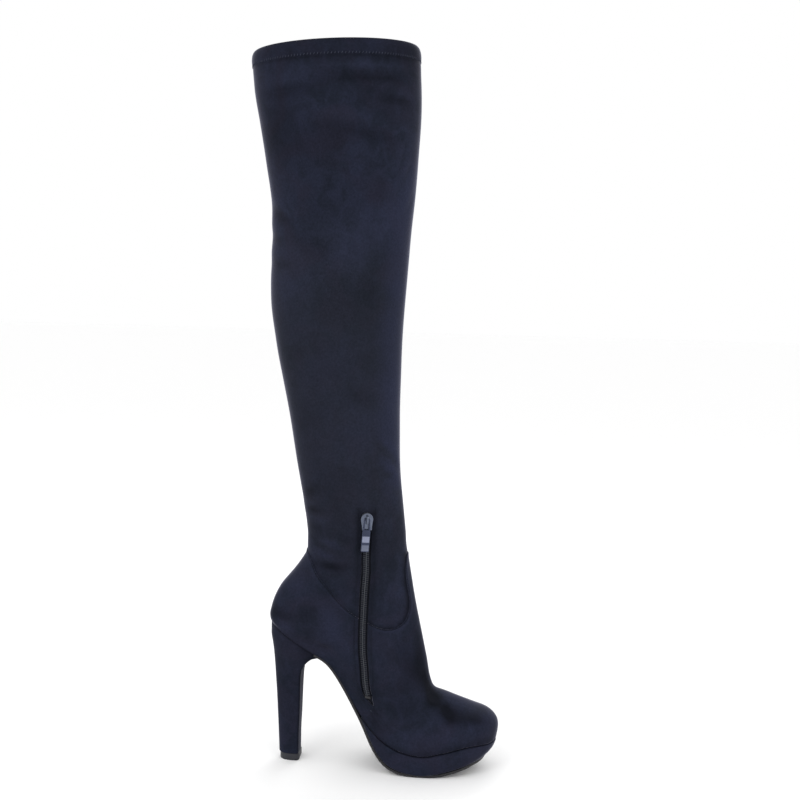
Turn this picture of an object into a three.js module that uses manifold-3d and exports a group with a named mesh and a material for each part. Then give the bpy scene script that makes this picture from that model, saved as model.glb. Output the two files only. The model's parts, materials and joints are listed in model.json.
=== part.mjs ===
import * as THREE from 'three';
import { mergeVertices } from 'three/addons/utils/BufferGeometryUtils.js';
import Module from 'manifold-3d';

// Thigh high boot for the left foot, on a high heel with a platform.
// Millimetres. X runs from the heel to the toe, the inner side of the leg is at -Y, +Z is up.

const wasm = await Module();
wasm.setup();

// Leg
const bootHeight = 672;
const ankleHeight = 222;
const ankleDepth = 93.7;
const ankleWidth = 73;
const collarDepth = 155.7;
const collarWidth = 124;
const collarTilt = 9;
const tiltStart = 0.5;
const backwardLean = 30;
const hemHeight = 15;
const hemStep = 0.6;
const hemFold = 0.6;

// Foot and last
const footLength = 219;
const ballWidth = 86;
const seatHeight = 135;
const heelRoundness = 0.7;
const upperTop = 0.97;
const shaftFoot = 1.62;

// Walls and layers
const shaftWall = 1.5;
const vampRise = 0.7;
const insoleThickness = 2;
const insoleClearance = 0.9;
const platformThickness = 19.2;
const outsoleThickness = 2.2;
const toeUndercut = 6;
const wallSwell = 1.5;
const gap = 0.3;
const featherGap = 0.45;

// Heel
const heelTipHeight = 6.7;
const heelTipDepth = 20;
const heelTipWidth = 23.6;
const heelTopWidth = 55;
const heelTipSetback = 11.8;
const heelTipInset = 0.3;
const breastCorner = 3;

// Zip
const slotWidth = 8.6;
const slotFoot = 69.5;
const stopInset = 2.8;
const slotHead = 246.5;
const chainWidth = 5.4;
const chainRise = 0.5;
const chainShoulder = 0.6;
const chainGroove = 0.3;
const tapeWidth = 20;
const tapeThickness = 0.6;
const tapeOverlap = 5;
const tapeClearance = 0.8;
const stopLength = 2.4;
const sliderInset = 7.5;
const sliderLength = 16;
const sliderWidth = 11.6;
const sliderPlate = 1.3;
const flangeThickness = 0.9;
const bridgeWidth = 2;
const bridgeThickness = 1.2;
const bridgeLeg = 1.6;
const bridgeFlare = 1.6;
const bridgeBevel = 0.8;
const bridgeSink = 0.3;
const pinRadius = 0.8;
const pinRise = 2;
const tabLength = 30;
const tabPlateLength = 20.5;
const tabWidth = 7.6;
const tabThickness = 1.4;
const tabLean = 4;
const tabNeck = 0.6;
const tabBevel = 0.8;
const tabShoulder = 2;
const bandInset = 0.5;
const bandRise = 0.3;

// Worked out from the sizes above
const ankleCentre = 0.372 * footLength;
const shaftLength = bootHeight - ankleHeight;
const columns = 40;
const soleColumns = 88;
const zipStep = 6;
const sliderHeight = slotHead - sliderInset;

// Shaft, from the ankle to the collar. Shares of the growth from the ankle to the collar.
const SHAFT = [
  { at: 0.0, lean: 0.0, depth: 0.0, width: 0.0 },
  { at: 0.064, lean: 0.13, depth: 0.016, width: 0.08 },
  { at: 0.149, lean: 0.318, depth: 0.06, width: 0.25 },
  { at: 0.233, lean: 0.448, depth: 0.153, width: 0.41 },
  { at: 0.317, lean: 0.58, depth: 0.274, width: 0.55 },
  { at: 0.401, lean: 0.703, depth: 0.41, width: 0.66 },
  { at: 0.483, lean: 0.763, depth: 0.526, width: 0.72 },
  { at: 0.616, lean: 0.702, depth: 0.589, width: 0.76 },
  { at: 0.692, lean: 0.67, depth: 0.645, width: 0.83 },
  { at: 0.774, lean: 0.73, depth: 0.774, width: 0.92 },
  { at: 0.854, lean: 0.807, depth: 0.903, width: 0.97 },
  { at: 0.927, lean: 0.918, depth: 0.982, width: 1.0 },
  { at: 1.0, lean: 1.0, depth: 1.0, width: 1.0 },
];

// Foot, from the ankle down to the feather edge. Back and front are shares of the foot's length,
// their rises are shares of the way from the seat, or from the toe, up to the ankle.
// Sole is the share by which a ring has taken the shape of the sole.
const FOOT = [
  { at: 0.0, back: 0.1585, backRise: 1.0, front: 0.5863, frontRise: 1.0, sole: 0.0 },
  { at: 0.07, back: 0.158, backRise: 0.8, front: 0.5945, frontRise: 0.912, sole: 0.0 },
  { at: 0.13, back: 0.131, backRise: 0.667, front: 0.602, frontRise: 0.855, sole: 0.0 },
  { at: 0.2, back: 0.098, backRise: 0.552, front: 0.611, frontRise: 0.8, sole: 0.0 },
  { at: 0.28, back: 0.045, backRise: 0.385, front: 0.628, frontRise: 0.695, sole: 0.0 },
  { at: 0.38, back: 0.0115, backRise: 0.195, front: 0.6515, frontRise: 0.572, sole: 0.03 },
  { at: 0.49, back: 0.003, backRise: 0.086, front: 0.6862, frontRise: 0.405, sole: 0.15 },
  { at: 0.6, back: 0.004, backRise: 0.052, front: 0.7265, frontRise: 0.246, sole: 0.45 },
  { at: 0.69, back: 0.0046, backRise: 0.035, front: 0.7945, frontRise: 0.2055, sole: 0.7 },
  { at: 0.79, back: 0.0062, backRise: 0.023, front: 0.905, frontRise: 0.16, sole: 0.9 },
  { at: 0.87, back: 0.0073, backRise: 0.014, front: 0.983, frontRise: 0.124, sole: 1.0 },
  { at: 0.94, back: 0.0082, backRise: 0.006, front: 1.0105, frontRise: 0.072, sole: 1.0 },
  { at: 1.0, back: 0.0091, backRise: 0.0, front: 1.0, frontRise: 0.0, sole: 1.0 },
];

// Sole, from the back of the seat to the toe. Height is a share of the seat's height, medial and
// lateral widen an ellipse as wide as the ball, block is a share of the platform's thickness.
const SOLE = [
  { at: 0.0, height: 1.0, medial: 1.26, lateral: 1.26, block: 0 },
  { at: 0.06, height: 0.944, medial: 1.12, lateral: 1.12, block: 0 },
  { at: 0.12, height: 0.885, medial: 0.96, lateral: 0.97, block: 0 },
  { at: 0.2, height: 0.815, medial: 0.84, lateral: 0.87, block: 0 },
  { at: 0.26, height: 0.764, medial: 0.77, lateral: 0.83, block: 0 },
  { at: 0.3, height: 0.69, medial: 0.74, lateral: 0.815, block: 0 },
  { at: 0.35, height: 0.561, medial: 0.725, lateral: 0.81, block: 0 },
  { at: 0.4, height: 0.43, medial: 0.73, lateral: 0.82, block: 0.02 },
  { at: 0.44, height: 0.344, medial: 0.76, lateral: 0.84, block: 0.13 },
  { at: 0.5, height: 0.246, medial: 0.82, lateral: 0.89, block: 0.54 },
  { at: 0.55, height: 0.2, medial: 0.89, lateral: 0.95, block: 0.89 },
  { at: 0.6, height: 0.171, medial: 0.96, lateral: 1.01, block: 1.02 },
  { at: 0.68, height: 0.156, medial: 1.07, lateral: 1.085, block: 1.04 },
  { at: 0.78, height: 0.186, medial: 1.165, lateral: 1.13, block: 1.01 },
  { at: 0.9, height: 0.222, medial: 1.3, lateral: 1.17, block: 0.93 },
  { at: 1.0, height: 0.215, medial: 1.45, lateral: 1.2, block: 0.62 },
];
const soleStart = 0.205;
const platformStart = 0.42;
const seatBack = FOOT.at(-1).back * footLength;
const toeTipHeight = SOLE.at(-1).height * seatHeight;

// Side of the platform from its top to its tread. At is a share of its thickness, swell and tuck
// are shares of how far the wall stands out and of how far it draws in at the toe.
const PLATFORM_WALL = [
  { at: 0.0, swell: -0.33, tuck: 0.0 },
  { at: 0.06, swell: 0.53, tuck: 0.0 },
  { at: 0.4, swell: 1.0, tuck: 0.25 },
  { at: 0.75, swell: 0.6, tuck: 0.62 },
  { at: 0.95, swell: -0.53, tuck: 0.92 },
  { at: 1.0, swell: -1.47, tuck: 1.0 },
];

// Heel, from the top piece to the seat. Height is a share of the seat's height, back and breast
// are shares of the top piece's setback and depth, width grows from the tip to the top.
const HEEL = [
  { at: 0.052, back: 0.94, breast: 0.95, width: 0.0 },
  { at: 0.185, back: 0.86, breast: 0.945, width: 0.03 },
  { at: 0.33, back: 0.76, breast: 0.97, width: 0.085 },
  { at: 0.48, back: 0.65, breast: 0.985, width: 0.17 },
  { at: 0.59, back: 0.55, breast: 1.0, width: 0.27 },
  { at: 0.65, back: 0.5, breast: 1.04, width: 0.37 },
  { at: 0.7, back: 0.45, breast: 1.18, width: 0.5 },
  { at: 0.735, back: 0.41, breast: 1.37, width: 0.63 },
  { at: 0.765, back: 0.375, breast: 1.57, width: 0.75 },
  { at: 0.79, back: 0.35, breast: 1.8, width: 0.85 },
  { at: 0.84, back: 0.26, breast: 2.2, width: 0.97 },
  { at: 0.92, back: 0.12, breast: 2.4, width: 1.0 },
  { at: 1.08, back: 0.12, breast: 2.4, width: 1.0 },
];

// Seam between shaft and upper, from the back over the ankle to the tongue at the front.
// Along is a share of the foot's length, height a share of the ankle's height.
const SEAM = [
  { along: -0.2, height: 0.93 },
  { along: 0.1, height: 0.925 },
  { along: 0.168, height: 0.918 },
  { along: 0.223, height: 0.84 },
  { along: 0.285, height: 0.775 },
  { along: 0.338, height: 0.716 },
  { along: 0.374, height: 0.681 },
  { along: 0.425, height: 0.655 },
  { along: 0.468, height: 0.632 },
  { along: 0.519, height: 0.616 },
  { along: 0.557, height: 0.622 },
  { along: 0.588, height: 0.642 },
  { along: 0.604, height: 0.675 },
  { along: 0.609, height: 0.714 },
  { along: 0.604, height: 0.748 },
  { along: 0.594, height: 0.799 },
  { along: 0.588, height: 0.849 },
  { along: 0.589, height: 0.897 },
  { along: 0.6, height: 0.925 },
  { along: 0.7, height: 0.935 },
];

// Run of the zip down the inner side. At is a share of the ankle's height.
const ZIP_RUN = [
  { at: 0.28, along: 0.4565 },
  { at: 0.329, along: 0.4505 },
  { at: 0.38, along: 0.4393 },
  { at: 0.46, along: 0.431 },
  { at: 0.54, along: 0.4224 },
  { at: 0.626, along: 0.421 },
  { at: 0.707, along: 0.4228 },
  { at: 0.788, along: 0.4251 },
  { at: 0.865, along: 0.4292 },
  { at: 0.937, along: 0.4279 },
  { at: 1.2, along: 0.4265 },
];

// Raised bands across the pull tab. From and to are shares of its plate's length.
const TAB_BANDS = [
  { from: 0.29, to: 0.565 },
  { from: 0.69, to: 0.955 },
];

function lerp(from, to, share) {
  return from + (to - from) * share;
}

// Smooth value of one column of a table, without overshoot between its rows
function along(rows, column, at) {
  const last = rows.length - 1;
  const slope = (k) => (rows[k + 1][column] - rows[k][column]) / (rows[k + 1].at - rows[k].at);
  const tangent = (k) => {
    if (k === 0) return slope(0);
    if (k === last) return slope(last - 1);
    const before = slope(k - 1);
    const after = slope(k);
    return before * after > 0 ? (2 * before * after) / (before + after) : 0;
  };
  if (at <= rows[0].at) return rows[0][column] + tangent(0) * (at - rows[0].at);
  if (at >= rows[last].at) return rows[last][column] + tangent(last) * (at - rows[last].at);
  let row = 0;
  while (at > rows[row + 1].at) row += 1;
  const span = rows[row + 1].at - rows[row].at;
  const u = (at - rows[row].at) / span;
  const fall = (1 + 2 * u) * (1 - u) * (1 - u);
  const rise = u * u * (3 - 2 * u);
  const leave = u * (1 - u) * (1 - u) * span * tangent(row);
  const arrive = u * u * (u - 1) * span * tangent(row + 1);
  return rows[row][column] * fall + rows[row + 1][column] * rise + leave + arrive;
}

function smoothStep(from, to, value) {
  const u = Math.min(1, Math.max(0, (value - from) / (to - from)));
  return u * u * (3 - 2 * u);
}

// Feather line of the last seen from the side, moved by a depth along its normal
function solePoint(at, y, depth) {
  const step = 0.004;
  const place = (share) => {
    const x = lerp(seatBack, footLength, share);
    return new THREE.Vector2(x, seatHeight * along(SOLE, 'height', share));
  };
  const here = place(at);
  const run = place(at + step).sub(place(at - step)).normalize();
  return new THREE.Vector3(here.x - run.y * depth, y, here.y + run.x * depth);
}

function soleHalf(at, side) {
  const round = 2 * Math.sqrt(Math.max(0, at * (1 - at)));
  return round * (ballWidth / 2) * along(SOLE, side, at);
}

// Outline of the sole at an angle, 0 at the toe and half a turn at the heel, grown outwards
function soleOutline(angle, grow) {
  const place = (turn) => {
    const share = (1 + Math.cos(turn)) / 2;
    const medial = Math.sin(turn) >= 0;
    const half = soleHalf(share, medial ? 'medial' : 'lateral');
    return new THREE.Vector2(share * (footLength - seatBack), medial ? -half : half);
  };
  const step = 0.02;
  const run = place(angle + step).sub(place(angle - step)).normalize();
  const spot = place(angle);
  return { at: (spot.x - run.y * grow) / (footLength - seatBack), y: spot.y + run.x * grow };
}

// Ring around the leg and foot. Down is 0 at the collar, 1 at the ankle, 2 at the feather edge.
function legPoint(angle, down) {
  const c = Math.cos(angle);
  const s = Math.sin(angle);
  if (down <= 1) {
    const up = 1 - down;
    const depth = lerp(ankleDepth, collarDepth, along(SHAFT, 'depth', up));
    const width = lerp(ankleWidth, collarWidth, along(SHAFT, 'width', up));
    const x = ankleCentre - backwardLean * along(SHAFT, 'lean', up) + (depth / 2) * c;
    const tilt = collarTilt * c * Math.max(0, up - tiltStart);
    return new THREE.Vector3(x, (-width / 2) * s, ankleHeight + up * shaftLength + tilt);
  }
  const low = down - 1;
  const belowAnkle = smoothStep(0, 0.07, low);
  const backShare = along(FOOT, 'back', low) * footLength;
  const frontShare = along(FOOT, 'front', low) * footLength;
  const back = lerp(ankleCentre - ankleDepth / 2, backShare, belowAnkle);
  const front = lerp(ankleCentre + ankleDepth / 2, frontShare, belowAnkle);
  const backZ = lerp(seatHeight, ankleHeight, along(FOOT, 'backRise', low));
  const frontZ = lerp(toeTipHeight, ankleHeight, along(FOOT, 'frontRise', low));
  const sole = along(FOOT, 'sole', low);
  const share = (1 + c) / 2;
  const x = lerp(back, front, share);
  const floor = (place) => seatHeight * along(SOLE, 'height', (place - seatBack) / (footLength - seatBack));
  const over = floor(x) + lerp(backZ - floor(back), frontZ - floor(front), share);
  const z = lerp(lerp(backZ, frontZ, share), over, sole);
  const cup = c < 0 ? lerp(1, heelRoundness, smoothStep(0.1, 0.35, low)) : 1;
  const ankle = (ankleWidth / 2) * Math.abs(s) ** cup;
  const half = lerp(ankle, soleHalf(share, s >= 0 ? 'medial' : 'lateral'), sole);
  return new THREE.Vector3(x, s >= 0 ? -half : half, z);
}

// Point at a distance outside (or, below zero, inside) the ring surface. At the feather edge the
// wall is cut square to the sole.
function wallPoint(angle, down, offset) {
  const turn = 0.03;
  const step = 0.004;
  const here = legPoint(angle, down);
  const around = legPoint(angle + turn, down).sub(legPoint(angle - turn, down));
  const low = Math.min(2, down + step);
  const below = legPoint(angle, low).sub(legPoint(angle, down - step));
  const normal = around.cross(below).normalize();
  const square = smoothStep(1.85, 2, down);
  if (square > 0) {
    const share = (here.x - seatBack) / (footLength - seatBack);
    const lift = solePoint(share, 0, 1).sub(solePoint(share, 0, 0));
    normal.addScaledVector(lift, -square * normal.dot(lift)).normalize();
  }
  return here.addScaledVector(normal, offset);
}

// Closed mesh from a list of corners and faces, its faces turned outwards
function closedGeometry(corners, faces) {
  const geometry = new THREE.BufferGeometry();
  geometry.setAttribute('position', new THREE.Float32BufferAttribute(corners.flatMap((p) => p.toArray()), 3));
  geometry.setIndex(faces.flat());
  const merged = mergeVertices(geometry, 1e-4);
  const place = merged.attributes.position;
  const index = merged.index.array;
  const kept = [];
  let volume = 0;
  const corner = (k) => new THREE.Vector3().fromBufferAttribute(place, k);
  for (let i = 0; i < index.length; i += 3) {
    const [a, b, c] = [index[i], index[i + 1], index[i + 2]];
    if (a === b || b === c || c === a) continue;
    kept.push([a, b, c]);
    volume += corner(a).dot(corner(b).cross(corner(c)));
  }
  merged.setIndex(kept.flatMap((face) => (volume < 0 ? [face[0], face[2], face[1]] : face)));
  return merged;
}

// Skin between rings of equal length, closed around, and from the last ring to the first
function hollowGeometry(rings) {
  const count = rings[0].length;
  const faces = [];
  rings.forEach((ring, j) => {
    const next = (j + 1) % rings.length;
    ring.forEach((point, i) => {
      const side = (i + 1) % count;
      const [a, b, c, d] = [j * count + i, j * count + side, next * count + side, next * count + i];
      faces.push([a, b, c], [a, c, d]);
    });
  });
  return closedGeometry(rings.flat(), faces);
}

// Solid between loops that run symmetrically from the toe: its two ends are ruled across
function stackGeometry(loops) {
  const count = loops[0].length;
  const faces = [];
  for (let j = 0; j < loops.length - 1; j += 1) {
    for (let i = 0; i < count; i += 1) {
      const side = (i + 1) % count;
      const [a, b] = [j * count + i, j * count + side];
      const [c, d] = [(j + 1) * count + side, (j + 1) * count + i];
      faces.push([a, b, c], [a, c, d]);
    }
  }
  const lid = (base, flip) => {
    for (let i = 0; i < count / 2; i += 1) {
      const [a, b] = [base + i, base + i + 1];
      const [c, d] = [base + ((count - i - 1) % count), base + ((count - i) % count)];
      const quad = [[a, b, c], [a, c, d]];
      quad.forEach((face) => faces.push(flip ? [face[0], face[2], face[1]] : face));
    }
  };
  lid(0, true);
  lid((loops.length - 1) * count, false);
  return closedGeometry(loops.flat(), faces);
}

// Solid between sections with flat ends
function loftGeometry(sections) {
  const count = sections[0].length;
  const faces = [];
  for (let j = 0; j < sections.length - 1; j += 1) {
    for (let i = 0; i < count; i += 1) {
      const side = (i + 1) % count;
      const [a, b] = [j * count + i, j * count + side];
      const [c, d] = [(j + 1) * count + side, (j + 1) * count + i];
      faces.push([a, b, c], [a, c, d]);
    }
  }
  const last = (sections.length - 1) * count;
  for (let i = 1; i < count - 1; i += 1) {
    faces.push([0, i + 1, i], [last, last + i, last + i + 1]);
  }
  return closedGeometry(sections.flat(), faces);
}

function solidOf(geometry) {
  const bare = geometry.clone();
  bare.deleteAttribute('normal');
  bare.deleteAttribute('uv');
  const merged = mergeVertices(bare, 1e-4);
  const vertProperties = new Float32Array(merged.attributes.position.array);
  const triVerts = new Uint32Array(merged.index.array);
  return new wasm.Manifold(new wasm.Mesh({ numProp: 3, vertProperties, triVerts }));
}

function geometryOf(solid) {
  const mesh = solid.getMesh();
  const geometry = new THREE.BufferGeometry();
  const places = new Float32Array((mesh.vertProperties.length / mesh.numProp) * 3);
  for (let i = 0; i < places.length / 3; i += 1) {
    for (let k = 0; k < 3; k += 1) places[3 * i + k] = mesh.vertProperties[mesh.numProp * i + k];
  }
  geometry.setAttribute('position', new THREE.BufferAttribute(places, 3));
  geometry.setIndex(new THREE.BufferAttribute(new Uint32Array(mesh.triVerts), 1));
  return geometry;
}

// Block through the boot, from an outline in the side view (x, z) and a reach across it
function sideBlock(points, fromY, toY) {
  const shape = new THREE.Shape(points);
  const block = new THREE.ExtrudeGeometry(shape, { depth: toY - fromY, bevelEnabled: false });
  const turn = new THREE.Matrix4();
  turn.makeBasis(new THREE.Vector3(1, 0, 0), new THREE.Vector3(0, 0, 1), new THREE.Vector3(0, -1, 0));
  block.applyMatrix4(turn);
  block.translate(0, toY, 0);
  return solidOf(block);
}

const boot = new THREE.Group();

function addPiece(name, geometry, color, roughness, metalness) {
  geometry.deleteAttribute('normal');
  geometry.computeVertexNormals();
  const material = new THREE.MeshStandardMaterial({ color, roughness, metalness, flatShading: true });
  const mesh = new THREE.Mesh(geometry, material);
  mesh.name = name;
  boot.add(mesh);
  return mesh;
}

const suede = 0x27293a;
const navyMetal = 0x3a4660;

// Tube of the leg's wall between two stations
function wallTube(stations, outerOffset, innerOffset) {
  const ring = (down, offset) => {
    const points = [];
    for (let i = 0; i < columns; i += 1) points.push(wallPoint((2 * Math.PI * i) / columns, down, offset));
    return points;
  };
  const outer = stations.map((down) => ring(down, outerOffset(down)));
  const inner = stations.map((down) => ring(down, innerOffset(down))).reverse();
  return solidOf(hollowGeometry([...outer, ...inner]));
}

// Everything above the seam, the seam moved down by a clearance
function aboveSeam(clearance) {
  const spots = SEAM.map((row) => new THREE.Vector2(row.along * footLength, row.height * ankleHeight));
  const line = new THREE.SplineCurve(spots).getPoints(3 * (SEAM.length - 1));
  const moved = line.map((spot, i) => {
    const run = line[Math.min(i + 1, line.length - 1)].clone().sub(line[Math.max(i - 1, 0)]).normalize();
    return new THREE.Vector2(spot.x + run.y * clearance, spot.y - run.x * clearance);
  });
  const clear = bootHeight + hemHeight;
  const far = 2 * footLength;
  return sideBlock([...moved, new THREE.Vector2(far, moved.at(-1).y), new THREE.Vector2(far, clear),
    new THREE.Vector2(-far, clear), new THREE.Vector2(-far, moved[0].y)], -collarWidth, collarWidth);
}

function zipAlong(height) {
  return along(ZIP_RUN, 'along', height / ankleHeight) * footLength;
}

// Slot for the zip through the inner side, with round ends
function zipSlot() {
  const half = slotWidth / 2;
  const low = slotFoot + half;
  const high = slotHead - half;
  const steps = 16;
  const right = [];
  const left = [];
  for (let i = 0; i <= steps; i += 1) {
    const height = lerp(low, high, i / steps);
    right.push(new THREE.Vector2(zipAlong(height) + half, height));
    left.unshift(new THREE.Vector2(zipAlong(height) - half, height));
  }
  const bow = (height, from) => [1, 2, 3].map((k) => {
    const turn = from + (k * Math.PI) / 4;
    return new THREE.Vector2(zipAlong(height) + half * Math.cos(turn), height + half * Math.sin(turn));
  });
  return sideBlock([...right, ...bow(high, 0), ...left, ...bow(low, Math.PI)], -collarWidth, -ankleWidth / 8);
}

// Stations at the rows of the foot and, where the wall bends most, half way between them
function footStations() {
  const stations = [];
  FOOT.forEach((row, i) => {
    if (i > 3 && i < FOOT.length - 2) stations.push(1 + (FOOT[i - 1].at + row.at) / 2);
    stations.push(1 + row.at);
  });
  return stations;
}

function makeShaft() {
  const hem = hemHeight / shaftLength;
  const fold = hemFold / shaftLength;
  const stations = [0, hem, hem + fold];
  const rows = 15;
  for (let i = 1; i <= rows; i += 1) stations.push(lerp(hem + fold, 1, i / rows));
  stations.push(...footStations().filter((down) => down > 1 && down < shaftFoot));
  const outer = (down) => (down <= hem ? hemStep : 0);
  const inner = (down) => (down <= hem ? -shaftWall - hemStep : -shaftWall);
  const tube = wallTube(stations, outer, inner);
  const shaft = tube.intersect(aboveSeam(-gap / 2)).subtract(zipSlot());
  addPiece('shaft', geometryOf(shaft), suede, 0.95, 0);
}

function makeUpper() {
  const stations = [upperTop, ...footStations()];
  const tube = wallTube(stations, () => vampRise, () => -shaftWall);
  const upper = tube.subtract(aboveSeam(gap / 2)).subtract(zipSlot());
  addPiece('upper', geometryOf(upper), suede, 0.95, 0);
}

// Loop of points around the sole from a station to the toe, at a depth below the feather edge.
// All loops share their stations, so layers stay the same distance apart.
function soleLoop(start, grow, depth, floor) {
  const half = soleColumns / 2;
  const turns = [];
  for (let i = 0; i <= half; i += 1) turns.push((Math.PI * i) / half);
  const shares = turns.filter((turn) => start === 0 || (1 + Math.cos(turn)) / 2 > start + 0.004);
  const corner = Math.acos(2 * start - 1);
  const inner = start === 0 ? shares.slice(1, -1) : [...shares.slice(1), corner];
  const place = (turn) => {
    const spot = soleOutline(turn, grow(turn));
    const at = start === 0 ? spot.at : Math.max(spot.at, start);
    return solePoint(at, spot.y, -depth(at));
  };
  const back = start === 0 ? place(Math.PI) : solePoint(start, 0, -depth(start));
  const medial = inner.map((turn) => place(turn));
  const lateral = inner.map((turn) => place(2 * Math.PI - turn)).reverse();
  const points = [place(0), ...medial, back, ...lateral];
  points.forEach((point) => { point.z = Math.max(point.z, floor); });
  return points;
}

function platformDepth(at) {
  return platformThickness * Math.max(0, along(SOLE, 'block', Math.min(1, at)));
}

// Depth of the outsole's top, which leaves the feather edge where the platform begins
function outsoleTop(at) {
  return featherGap + platformDepth(at) + gap * Math.min(1, platformDepth(at) / gap);
}

function toeward(angle) {
  return Math.max(0, Math.cos(angle)) ** 3;
}

function makeInsole() {
  const inset = () => -(shaftWall + insoleClearance);
  const loops = [0, -insoleThickness].map((depth) => soleLoop(0, inset, () => depth, 0));
  addPiece('insole', stackGeometry(loops), 0x2b2b30, 0.8, 0);
}

function makePlatform() {
  const loops = PLATFORM_WALL.map((row) => {
    const grow = (angle) => row.swell * wallSwell - toeUndercut * row.tuck * toeward(angle);
    const depth = (at) => featherGap + row.at * platformDepth(at);
    return soleLoop(platformStart, grow, depth, outsoleThickness + gap);
  });
  addPiece('platform', stackGeometry(loops), suede, 0.95, 0);
}

function makeOutsole() {
  const last = PLATFORM_WALL.at(-1);
  const grow = (angle) => last.swell * wallSwell - toeUndercut * last.tuck * toeward(angle);
  const top = soleLoop(soleStart, grow, outsoleTop, outsoleThickness);
  const foot = soleLoop(soleStart, grow, (at) => outsoleTop(at) + outsoleThickness, 0);
  addPiece('outsole', stackGeometry([top, foot]), 0x17181f, 0.7, 0);
}

// Level section of the heel: round at the back, flat at the breast
function heelSection(back, breast, width, height) {
  const half = width / 2;
  const bow = Math.min(half, (breast - back) * 0.6);
  const corner = Math.min(breastCorner, half / 4);
  const points = [];
  for (let i = 0; i <= 12; i += 1) {
    const turn = -Math.PI / 2 + (Math.PI * i) / 12;
    points.push(new THREE.Vector3(back + bow - bow * Math.cos(turn), half * Math.sin(turn), height));
  }
  points.push(new THREE.Vector3(breast - corner, half, height));
  points.push(new THREE.Vector3(breast - corner * 0.3, half - corner * 0.3, height));
  points.push(new THREE.Vector3(breast, half - corner, height));
  points.push(new THREE.Vector3(breast, corner - half, height));
  points.push(new THREE.Vector3(breast - corner * 0.3, corner * 0.3 - half, height));
  points.push(new THREE.Vector3(breast - corner, -half, height));
  return points;
}

function makeHeel() {
  const sections = HEEL.map((row, i) => {
    const width = lerp(heelTipWidth, heelTopWidth, row.width);
    const height = i === 0 ? heelTipHeight + gap : row.at * seatHeight;
    return heelSection(row.back * heelTipSetback, heelTipSetback + row.breast * heelTipDepth, width, height);
  });
  const block = solidOf(loftGeometry(sections));
  const line = [];
  for (let i = 0; i <= 24; i += 1) {
    const spot = solePoint(lerp(-0.1, soleStart + 0.1, i / 24), 0, -featherGap);
    line.push(new THREE.Vector2(spot.x, spot.z));
  }
  const seat = sideBlock([...line, new THREE.Vector2(line.at(-1).x, 2 * seatHeight),
    new THREE.Vector2(line[0].x, 2 * seatHeight)], -ballWidth, ballWidth);
  const under = [0, 1, 2, 3, 4].map((k) => {
    const spot = solePoint(soleStart + 0.025 * k, 0, -featherGap - outsoleThickness - gap);
    return new THREE.Vector2(spot.x - (k === 0 ? gap : 0), spot.z);
  });
  const lip = solePoint(soleStart, 0, insoleThickness);
  const front = [...under, new THREE.Vector2(footLength, under.at(-1).y),
    new THREE.Vector2(footLength, 2 * seatHeight), new THREE.Vector2(lip.x - gap, lip.z)];
  const heel = block.subtract(seat).subtract(sideBlock(front, -ballWidth, ballWidth));
  addPiece('heel', geometryOf(heel), suede, 0.95, 0);
}

function makeHeelTip() {
  const back = heelTipSetback + heelTipInset;
  const breast = heelTipSetback + heelTipDepth - heelTipInset;
  const width = heelTipWidth - 2 * heelTipInset;
  const sections = [0, heelTipHeight].map((height) => heelSection(back, breast, width, height));
  addPiece('heel_tip', loftGeometry(sections), 0x4a4b50, 0.5, 0);
}

// Place on the inner side of the leg that the side view shows at x and z
function sideSpot(x, z) {
  let angle = Math.PI / 2;
  let down = z > ankleHeight ? 1 - (z - ankleHeight) / shaftLength : 1.3;
  for (let pass = 0; pass < 60; pass += 1) {
    const here = legPoint(angle, down);
    angle += (here.x - x) / ankleDepth;
    down = Math.min(1.99, down + (here.z - z) / shaftLength);
  }
  return { angle, down };
}

function zipPoint(height, across, offset) {
  const spot = sideSpot(zipAlong(height) + across, height);
  return wallPoint(spot.angle, spot.down, offset);
}

// Strip along the zip from a section given as places across it and heights off the leg.
// All strips share their stations, so they stay the same distance apart.
function zipStrip(low, high, section) {
  const heights = [low];
  for (let k = Math.ceil((low + 1) / zipStep); k * zipStep < high - 1; k += 1) heights.push(k * zipStep);
  heights.push(high);
  return loftGeometry(heights.map((height) => section.map(([x, offset]) => zipPoint(height, x, offset))));
}

const tapeFace = -(shaftWall + tapeClearance);
const stopFoot = slotFoot + stopInset;
const chainFoot = stopFoot + stopLength + gap;

function makeZip() {
  const half = tapeWidth / 2;
  const edge = chainWidth / 2;
  const back = tapeFace - tapeThickness;
  const across = [-half, -2 * edge, -edge, 0, edge, 2 * edge, half];
  const tape = [...across.map((x) => [x, tapeFace]), ...across.map((x) => [-x, back])];
  addPiece('zip_tape', zipStrip(slotFoot - tapeOverlap, slotHead + tapeOverlap, tape), 0x20222c, 0.9, 0);
  const seat = tapeFace + gap;
  const shoulder = chainRise - chainShoulder;
  const chain = [[-edge, seat], [0, seat], [edge, seat], [edge, shoulder], [edge * 0.55, chainRise],
    [edge * 0.1, chainRise], [0, chainRise - chainGroove], [-edge * 0.1, chainRise], [-edge * 0.55, chainRise],
    [-edge, shoulder]];
  const top = sliderHeight + sliderLength / 4;
  addPiece('zip_chain', zipStrip(chainFoot, top, chain), 0x4a4c5a, 0.5, 0.1);
  const stop = [[-edge, seat], [edge, seat], [edge, chainRise], [-edge, chainRise]];
  addPiece('zip_stop', zipStrip(stopFoot, stopFoot + stopLength, stop), navyMetal, 0.4, 0.8);
}

// Frame on the zip at the slider: across to the toe, up along the zip, out of the leg
function sliderFrame() {
  const centre = zipPoint(sliderHeight, 0, 0);
  const reach = sliderLength / 4;
  const up = zipPoint(sliderHeight + reach, 0, 0).sub(zipPoint(sliderHeight - reach, 0, 0)).normalize();
  const out = zipPoint(sliderHeight, 0, 1).sub(centre);
  out.addScaledVector(up, -out.dot(up)).normalize();
  const across = up.clone().cross(out);
  return new THREE.Matrix4().makeBasis(across, up, out).setPosition(centre);
}

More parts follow.
